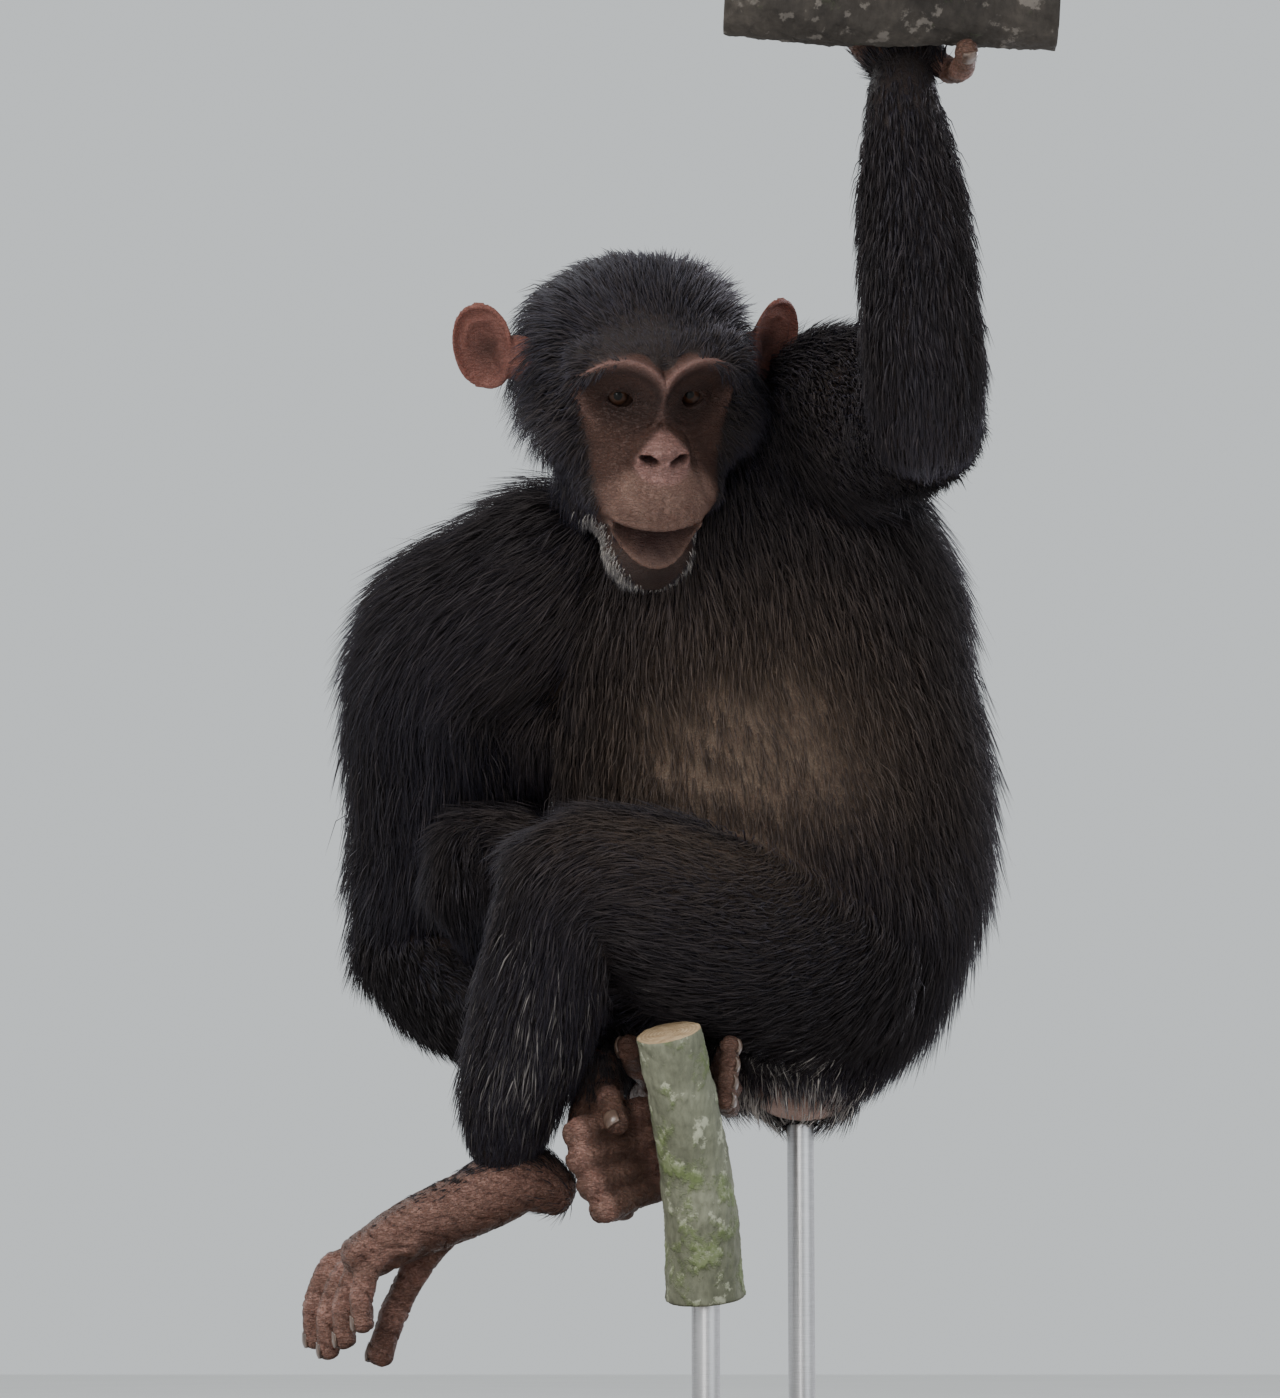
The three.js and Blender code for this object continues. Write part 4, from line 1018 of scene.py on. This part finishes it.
# Perches: a cylinder of bark along the run with ridges, swellings and sawn ends.
def makePerch(name, node, run, material, slot, ridges, phase):
    run = np.array(run, float)
    rows, around, inRings = 112, 96, 8
    t = np.concatenate([np.zeros(inRings), np.linspace(0, 1, rows), np.ones(inRings)])
    inset = np.linspace(0.06, 0.97, inRings)
    scale = np.concatenate([inset, np.ones(rows), inset[::-1]])
    scale[inRings] = scale[inRings + rows - 1] = 0.985
    log = {"run": np.column_stack([run, run[:, 3]]), "across": (0, 1, 0)}
    at, _, wide, deep, a, _ = limbFrame(log, t)
    turn = wholeTurn(around)
    side = np.cos(turn)[..., None] * wide[:, None] + np.sin(turn)[..., None] * deep[:, None]
    surface = at[:, None] + side * a[:, None]
    flat = surface.reshape(-1, 3)
    relief = (0.55 * swirl(flat, 46, phase) + 0.45 * swirl(flat * (1, 1, 0.4), 15, phase + 1)
              + 0.35 * swirl(flat, 6, phase + 2)).reshape(len(t), around)
    relief = relief * ridges - 0.6
    rings = at[:, None] + side * ((a + relief) * scale[:, None])[..., None]
    isCut = np.repeat((scale < 0.98).astype(float), around)
    distance = np.linalg.norm(rings - at[:, None], axis=-1).ravel()
    values = {"cut": np.concatenate([isCut, [1, 1]]), "rings": np.concatenate([distance, [0, 0]])}
    makePiece(name, closedGrid(rings, at[[0]], at[[-1]]), material, slot, node, values=values)


def makePerches():
    trunk = [(8, -62, 252, 19), (18, -44, 205, 20), (25, -31, 160, 21), (29, -18, 106, 23)]
    branch = [(40, -177, 820, 26), (100, -179, 815, 28), (160, -177, 813, 26), (222, -178, 811, 27)]
    mossyBark = barkMaterial("mossyBark", (0.25, 0.26, 0.19), (0.085, 0.09, 0.06), (0.1, 0.135, 0.045), 0.1)
    darkBark = barkMaterial("darkBark", (0.075, 0.064, 0.054), (0.02, 0.017, 0.015), (0.04, 0.05, 0.026),
                            0.02)
    makePerch("trunkPerch", "perch_trunk", trunk, mossyBark, "bark", 1.6, 0.7)
    makePerch("branchPerch", "perch_branch", branch, darkBark, "dark_bark", 2.2, 2.9)


# Stand: a plate with softened edges and two rods with collars, each a profile carried round an outline.
standPlan = {"half": 225, "corner": 28, "thick": 20, "edge": 3, "rod": 8, "collar": 12}


def makeStand():
    half, corner, thick, edge = (standPlan[k] for k in ("half", "corner", "thick", "edge"))
    quarter = np.linspace(0, np.pi / 2, 12)
    turn = np.concatenate([quarter + k * np.pi / 2 for k in range(4)])
    outward = np.stack([np.cos(turn), np.sin(turn)], -1)
    corners = np.repeat([(1, 1), (-1, 1), (-1, -1), (1, -1)], 12, axis=0) * (half - corner)
    bend = np.linspace(0, np.pi / 2, 7)
    inset = np.concatenate([[corner - 1, edge], edge - edge * np.sin(bend), edge - edge * np.cos(bend),
                            [corner - 1]])
    high = np.concatenate([[0, 0], edge - edge * np.cos(bend), thick - edge + edge * np.sin(bend), [thick]])
    rings = np.stack([np.column_stack([corners + outward * (corner - i), np.full(48, h)])
                      for i, h in zip(inset, high)])
    plate = closedGrid(rings, np.array([[0, 0, 0.0]]), np.array([[0, 0, float(thick)]]))
    makePiece("standPlate", plate, baseMaterial(), "stand_wood", "stand_base", smooth=False)
    steel = steelMaterial()
    for name, node, (x, y) in (("bodyRod", "stand_rod_body", (88, 112)),
                               ("perchRod", "stand_rod_perch", (29, -18))):
        low, top = thick + 0.3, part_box(node)[1][2] * 1000 - 1
        rod, collar = standPlan["rod"], standPlan["collar"]
        radius = np.array([collar - 0.8, collar, collar, collar - 0.8, rod + 0.4, rod, rod])
        high = np.array([low, 21, 25, 25.8, 26, 26.4, top])
        turn = wholeTurn(64)
        rings = np.stack([x + radius[:, None] * np.cos(turn), y + radius[:, None] * np.sin(turn),
                          high[:, None] + 0 * turn], -1)
        tube = closedGrid(rings, np.array([[x, y, low]]), np.array([[x, y, top]]))
        makePiece(name, tube, steel, "stand_steel", node, smooth=False)


# Coat: how many tufts each skin carries. A tuft is a three-sided blade that lies along the hair, with its
# root sunk in the skin and its tip drawn towards the middle of its clump.
coatPlan = {"body": 175000, "head": 30000, "handLeft": 2600, "handRight": 3000, "footLeft": 4200,
            "footRight": 2600}
tuftPlan = {"bentShare": 0.42, "fineShare": 0.8, "mostInPiece": 26000, "clump": 8.0, "sunk": 1.2,
            "thickness": 0.42}


def spread(points, faces, normals, count, keep):
    # Roots strewn evenly over the skin: a triangle is drawn by its area times keep, then a place in it.
    tri = trianglesOf(faces)
    first, second, third = points[tri[:, 0]], points[tri[:, 1]], points[tri[:, 2]]
    area = np.linalg.norm(np.cross(second - first, third - first), axis=1)
    weight = area * keep[tri].mean(axis=1)
    chosen = tri[rng.choice(len(tri), count, p=weight / weight.sum())]
    a, b = rng.random((2, count))
    fold = a + b > 1
    a, b = np.where(fold, 1 - a, a)[:, None], np.where(fold, 1 - b, b)[:, None]
    share = np.stack([1 - a - b, a, b], 1)
    return (points[chosen] * share).sum(1), unit((normals[chosen] * share).sum(1))


def limbPlaces(points):
    # For each point and limb: how far out it lies as a share of the limb's radius, the place along the run
    # and the limb's direction there.
    names = list(limbs)
    far, place, lie = [], [], []
    for name in names:
        t = np.linspace(0, 1, 48)
        at, along, _, _, a, b = limbFrame(limbs[name], t)
        gap = np.linalg.norm(points[:, None] - at[None], axis=-1) / ((a + b) / 2)[:, 0][None]
        best = gap.argmin(axis=1)
        far.append(gap[np.arange(len(points)), best])
        place.append(t[best])
        lie.append(along[best] * limbs[name]["lie"])
    return names, np.stack(far, 1), np.stack(place, 1), np.stack(lie, 1)


def turnRound(outward, wide, deep):
    # Angle round the run as a share of a whole turn, from 0 to 1.
    return np.arctan2(dot(outward, deep), dot(outward, wide)) / (2 * np.pi) + 0.5


def makeTufts(name, roots, normals, lie, length, width, lift, tint, unwrap):
    # Spine: sunk root, a middle at 45% of the length raised by lift, and a tip that lies lower again. Every
    # tuft from "bent" on is a straight, finer one without the middle.
    count = len(roots)
    bent = int(count * tuftPlan["bentShare"])
    lie = unit(lie - dot(lie, normals)[:, None] * normals)
    across = np.cross(normals, lie)
    stray = rng.normal(0, 0.12, count) + 0.26 * swirl(roots, 60, 1.0) + 0.14 * swirl(roots, 19, 2.2)
    stray = stray[:, None]
    lie = unit(lie * np.cos(stray) + across * np.sin(stray))
    across = np.cross(normals, lie)
    rise = (lift * (1 + 0.35 * rng.normal(0, 1, count)))[:, None]
    length, width = length[:, None], width[:, None]
    first = unit(lie * np.cos(rise) + normals * np.sin(rise))
    later = unit(lie * np.cos(rise * 0.35) + normals * np.sin(rise * 0.35) + (0, 0, -0.12))
    cell = tuftPlan["clump"]
    key = np.floor(roots / cell)
    wander = np.sin(key @ np.array([[12.9, 39.3, 71.7], [78.2, 11.1, 27.9], [37.7, 93.9, 51.3]])) * 43758.5
    centre = (key + 0.25 + 0.5 * (wander - np.floor(wander))) * cell
    pull = centre - roots
    pull = pull - dot(pull, normals)[:, None] * normals
    low = roots - normals * tuftPlan["sunk"]
    middle = low + first * length * 0.45 + pull * 0.12
    tip = middle + later * length * 0.55 + pull * 0.16
    thick = width * tuftPlan["thickness"]

    def ring(at, size):
        return [at - across * width * size / 2, at + across * width * size / 2, at + normals * thick * size]

    curved = np.stack([*ring(low, 0.8), *ring(middle, 1.0), tip], 1)[:bent].reshape(-1, 3)
    straight = np.stack([*ring(low, tuftPlan["fineShare"]), tip], 1)[bent:].reshape(-1, 3)
    curvedSides = np.array([(0, 1, 4), (0, 4, 3), (1, 2, 5), (1, 5, 4), (2, 0, 3), (2, 3, 5),
                            (3, 4, 6), (4, 5, 6), (5, 3, 6), (0, 2, 1)])
    straightSides = np.array([(0, 1, 3), (1, 2, 3), (2, 0, 3), (0, 2, 1)])
    faces = np.concatenate([
        ((np.arange(bent) * 7)[:, None, None] + curvedSides[None]).reshape(-1, 3),
        ((bent * 7 + np.arange(count - bent) * 4)[:, None, None] + straightSides[None]).reshape(-1, 3)])
    corner = np.clip(unwrap, 0.002, 0.994)[:, None]
    spot = np.array([(0, 0), (1, 0), (2, 0), (0, 1), (1, 1), (2, 1), (1, 2)]) * 0.0015
    uv = np.vstack([(corner[:bent] + spot).reshape(-1, 2),
                    (corner[bent:] + spot[[0, 1, 2, 6]]).reshape(-1, 2)])
    along = np.concatenate([np.tile([0, 0, 0, 0.5, 0.5, 0.5, 1], bent), np.tile([0, 0, 0, 1], count - bent)])
    tint = np.vstack([np.repeat(tint[:bent], 7, axis=0), np.repeat(tint[bent:], 4, axis=0)])
    surface = (np.vstack([curved, straight]), [faces])
    makePiece(name, surface, coat, "coat", values={"tint": tint, "along": along}, uv=uv)


def tuftTint(points, normals, count):
    # Black, browner by chance and where the hair is thin, with painted grey glints on the shin, whitish below
    # the rump, and painted shade on the right forearm.
    belly, chest, arms, _ = thinHair(points, normals)
    tint = plainTint("black", count)
    tint = blendInto(tint, "brown", 1.1 * belly + 0.4 * chest + 0.5 * arms + 0.14 * rng.random(count))
    # Painted glints: grey flecks on the front of the shin.
    shin = bell(points[:, 0] + 66, 30) * bell(points[:, 2] - 240, 40) * ease(0.1, 0.5, -normals[:, 1])
    shin = shin * ease(20, -10, points[:, 1])
    tint = blendInto(tint, "white", (rng.random(count) < 0.42 * shin) * 0.26)
    tuft = bell(np.linalg.norm((points - (72, 80, 208)) / (1.6, 1.2, 1), axis=1), 34)
    tint = blendInto(tint, "white", (rng.random(count) < 1.2 * tuft) * 0.9)
    # Painted shade darkens the tufts on the right forearm.
    shade = 1 - 0.45 * bell(np.linalg.norm((points - (-118, 122, 290)) / (1.3, 1, 1), axis=1), 62)
    return tint * (shade * (0.75 + 0.5 * rng.random(count)))[:, None]


def makeBodyCoat(bodyMesh):
    # Direction, length and lift of a tuft are means over the limbs, weighted exp(-9 (distance - nearest)).
    points, faces, normals = bodyMesh
    total = coatPlan["body"]
    belly, chest, arms, rump = thinHair(points, normals)
    local = toHead(points)
    underHead = ease(1.0, 0.8, np.linalg.norm((local - (0, -5, -30)) / (62, 78, 82), axis=1))
    keep = (1 - 0.6 * np.clip(1.2 * belly + arms, 0, 1)) * (1 - 0.15 * chest)
    keep = keep * (1 - np.clip(1.6 * rump, 0, 0.95)) * (1 - underHead)
    roots, normal = spread(points, faces, normals, total, np.clip(keep, 0.02, 1))
    names, far, place, lie = limbPlaces(roots)
    nearest = far.argmin(axis=1)
    weight = np.exp(-9 * (far - far.min(axis=1, keepdims=True)))
    flow = (weight[..., None] * lie).sum(1) + (0, 0, -0.25)
    lengths = np.array([limbs[name]["length"] for name in names], float)
    length = (weight * lengths).sum(1) / weight.sum(1)
    belly, _, arms, rump = thinHair(roots, normal)
    length = length * (1 - 0.55 * belly - 0.4 * arms) * (1 - 0.3 * np.clip(rump, 0, 1))
    length = length * (0.7 + 0.5 * rng.random(total))
    ends = np.array([[1 if "forearm" in name or "shin" in name else 0 for name in names]])
    fade = 1 - 0.7 * (weight * ends * ease(0.65, 1, place)).sum(1) / weight.sum(1)
    elbow = bell(np.linalg.norm(roots - (150, -146, 572), axis=1), 46)
    seat = ease(285, 235, roots[:, 2]) * ease(20, 60, roots[:, 0])
    length = length * fade * (1 - 0.45 * elbow) * (1 - 0.4 * seat)
    lifts = np.array([limbs[name]["lift"] for name in names], float)
    lift = (weight * lifts).sum(1) / weight.sum(1) * (1 - 0.3 * belly)
    tint = tuftTint(roots, normal, total)
    width = (0.75 + 0.45 * rng.random(total)) * (1 - 0.4 * np.clip(1.2 * belly, 0, 1))
    for k, name in enumerate(names):
        mine = np.flatnonzero(nearest == k)
        at, _, wide, deep, _, _ = limbFrame(limbs[name], place[mine, k])
        unwrap = np.column_stack([turnRound(roots[mine] - at, wide, deep), place[mine, k]])
        layers = max(1, math.ceil(len(mine) / tuftPlan["mostInPiece"]))
        for layer in range(layers):
            part = np.arange(len(mine)) % layers == layer
            chosen = mine[part]
            label = name + "Coat" + (str(layer + 1) if layers > 1 else "")
            makeTufts(label, roots[chosen], normal[chosen], flow[chosen], length[chosen], width[chosen],
                      lift[chosen], tint[chosen], unwrap[part])
        print(name, "coat", len(mine), "tufts")


def rimOfChin(p):
    # White fuzz along the edge of the jaw, from the corners of the mouth to under the chin.
    edge = np.abs(p[:, 0]) - np.interp(p[:, 2], (-118, -108, -96, -84, -72), (4, 15, 23, 28, 32))
    return bell(edge, 5) * ease(-69, -80, p[:, 2]) * ease(16, 30, -p[:, 1]) * np.where(p[:, 0] < 0, 1, 0.6)


def makeHeadCoat(headMesh):
    # Hair runs up and back over the crown, down at the sides and outwards in the whiskers.
    points, faces, normals = headMesh
    local = toHead(points)
    hair = hairOnHead(local)
    inNeck = ease(1.0, 0.85, np.linalg.norm((local - (10, 42, -52)) / (44, 40, 40), axis=1))
    earNear = np.linalg.norm((np.abs(local) * (1, 0, 0) + local * (0, 1, 1)) - (60, 12, 2), axis=1)
    count = coatPlan["head"]
    keep = np.clip(hair * (1 - inNeck) + 3.2 * rimOfChin(local), 0, 4) * ease(5, 10, earNear)
    roots, normal = spread(points, faces, normals, count, keep)
    p = toHead(roots)
    up = ease(-6, 46, p[:, 2])
    side = np.sign(p[:, 0]) * ease(0, 30, np.abs(p[:, 0]))
    lie = np.column_stack([0.35 * side * (1 - 0.6 * up), 0.35 + 0.85 * up, -1.15 * (1 - up) - 0.1])
    whisker = bell(p[:, 2] + 16, 17) * ease(34, 50, np.abs(p[:, 0])) * ease(44, 14, p[:, 1])
    lie[:, 0] += 1.1 * whisker * np.sign(p[:, 0])
    back = ease(-20, 30, p[:, 1])
    behind = np.column_stack([0.2 * side, 0.3 * up, -0.9 + 0.5 * up])
    lie = lie * (1 - 0.6 * back[:, None]) + back[:, None] * behind
    margin = hairOnHead(p)
    flank = bell(p[:, 2] - 14, 34) * ease(26, 48, np.abs(p[:, 0]))
    crown = ease(4, 36, p[:, 0]) * ease(6, 36, p[:, 2])
    length = 6 + 16 * ease(-62, -18, p[:, 1]) + 7 * (1 - up) + 5 * flank + 8 * crown + 9 * whisker
    length = length * (0.75 + 0.4 * rng.random(count))
    chin = ease(-78, -90, p[:, 2]) * ease(18, 36, -p[:, 1])
    length = np.where(chin > 0.3, 8 + 5 * rng.random(count), length) * (0.6 + 0.4 * margin)
    width = (0.6 + 0.4 * rng.random(count)) * (1 - 0.45 * rimOfChin(p))
    tint = plainTint("black", count)
    tint = blendInto(tint, "brown", 0.2 * rng.random(count) + 0.1 * (1 - ease(0, 30, p[:, 1] + 60)))
    white = rimOfChin(p)
    tint = blendInto(tint, "white", (rng.random(count) < 1.4 * white) * (0.45 + 0.45 * rng.random(count)))
    tint = tint * (0.75 + 0.5 * rng.random(count))[:, None]
    d = unit(p - np.array(head["heart"]))
    unwrap = np.column_stack([np.arctan2(d[:, 0], d[:, 1]) / 2, np.arcsin(d[:, 2])]) / np.pi + 0.5
    lift = 0.4 + 0.3 * flank + 0.35 * crown + 0.6 * whisker
    makeTufts("headCoat", roots, normal, lie @ headMatrix.T, length, width, lift, tint, unwrap)
    print("head coat", count, "tufts")


# Short hair on the backs of the hands and the tops of the feet: the side that it grows on, how far it
# reaches along the run, its length at the wrist or ankle and at the end, and how much of it goes all round
# the wrist or ankle.
backHair = {
    "handLeft": {"side": (0, 1, 0.1), "reach": 0.75, "length": (13, 6), "cuff": 1},
    "handRight": {"side": (-0.6, -0.8, 0.1), "reach": 0.45, "length": (13, 6), "cuff": 0.7},
    "footLeft": {"side": (0.1, 0.35, 0.95), "reach": 0.85, "length": (13, 5), "cuff": 0.15},
    "footRight": {"side": (-0.3, 0, 1), "reach": 0.8, "length": (13, 6), "cuff": 1},
}


def makeBackHair(extremities):
    for name, plan in backHair.items():
        points, faces, normals = extremities[name]
        run = {"run": handsAndFeet[name]["run"], "across": handsAndFeet[name]["across"]}
        t = np.linspace(0, 1, 60)
        at, along, wide, deep, a, b = limbFrame(run, t)

        def placeOf(p):
            gap = np.linalg.norm(p[:, None] - at[None], axis=-1)
            best = gap.argmin(axis=1)
            return best, gap[np.arange(len(p)), best] / np.maximum(a, b)[best, 0]

        best, out = placeOf(points)
        sideward = normals @ unit(np.array(plan["side"], float))
        keep = ease(-0.2, 0.5, sideward) * ease(1.5, 1.2, out)
        keep = keep * ease(plan["reach"] + 0.12, plan["reach"] - 0.2, t[best])
        keep = np.maximum(keep, plan["cuff"] * ease(0.16, 0.02, t[best]) * ease(1.6, 1.3, out))
        count = coatPlan[name]
        roots, normal = spread(points, faces, normals, count, np.clip(keep, 0, 1))
        best, _ = placeOf(roots)
        share = ease(0, plan["reach"], t[best])
        length = plan["length"][0] * (1 - share) + plan["length"][1] * share
        length = length * (0.7 + 0.5 * rng.random(count))
        outward = roots - at[best]
        unwrap = np.column_stack([turnRound(outward, wide[best], deep[best]), t[best]])
        tint = blendInto(plainTint("black", count), "brown", 0.3 * rng.random(count))
        lie = along[best] + 0.25 * unit(outward)
        width = 0.65 + 0.35 * rng.random(count)
        makeTufts(name + "Hair", roots, normal, lie, length, width, np.full(count, 0.3), tint, unwrap)
    print("hair on hands and feet made")


# Room: half the floor's width in millimetres and the light of the surroundings.
roomPlan = {"floorHalf": 9000, "colour": (0.8, 0.84, 0.86), "power": 0.88}


def makeStage():
    size = roomPlan["floorHalf"]
    points = np.array([(-size, -size, 0), (size, -size, 0), (size, size, 0), (-size, size, 0)], float)
    floor = addObject("floor", makeMesh("floor", points, [np.array([[0, 1, 2, 3]])]))
    floor.data.materials.append(floorMaterial())
    world = bpy.data.worlds.new("paleRoom")
    world.use_nodes = True
    setInputs(world.node_tree, world.node_tree.nodes["Background"],
              {"Color": (*roomPlan["colour"], 1), "Strength": roomPlan["power"]})
    bpy.context.scene.world = world


# Lights: place and size in metres, power in watts.
lightPlan = {
    "key": {"at": (-1.5, -1.9, 2.1), "size": 1.5, "power": 84, "colour": (1, 0.97, 0.93)},
    "catch": {"at": (-0.45, -2.2, 0.38), "size": 0.45, "power": 9, "colour": (1, 0.98, 0.95)},
    "fill": {"at": (1.9, -1.6, 0.9), "size": 1.8, "power": 20, "colour": (0.93, 0.97, 1)},
    "rimLeft": {"at": (-1.5, 1.7, 1.5), "size": 1.0, "power": 16, "colour": (0.95, 0.98, 1)},
    "rimRight": {"at": (1.7, 1.5, 1.2), "size": 1.0, "power": 42, "colour": (0.93, 0.9, 1)},
}


def makeLights():
    middle = Vector((0, 0, 0.45))
    for name, plan in lightPlan.items():
        data = bpy.data.lights.new(name, "AREA")
        data.size, data.energy, data.color = plan["size"], plan["power"], plan["colour"]
        lamp = addObject(name, data)
        lamp.location = plan["at"]
        lamp.rotation_mode = "QUATERNION"
        lamp.rotation_quaternion = (middle - Vector(plan["at"])).to_track_quat("-Z", "Y")


makeStage()
makeLights()
bodyMesh = makeBodySkin()
print("body skin made")
headMesh = makeHeadSkin()
print("head skin made")
makeEyes()
makeMouth()
makeEars()
extremities = makeHandsAndFeet()
print("hands and feet made")
makePerches()
makeStand()
print("perches and stand made")
makeBodyCoat(bodyMesh)
makeHeadCoat(headMesh)
makeBackHair(extremities)
print("coat made")
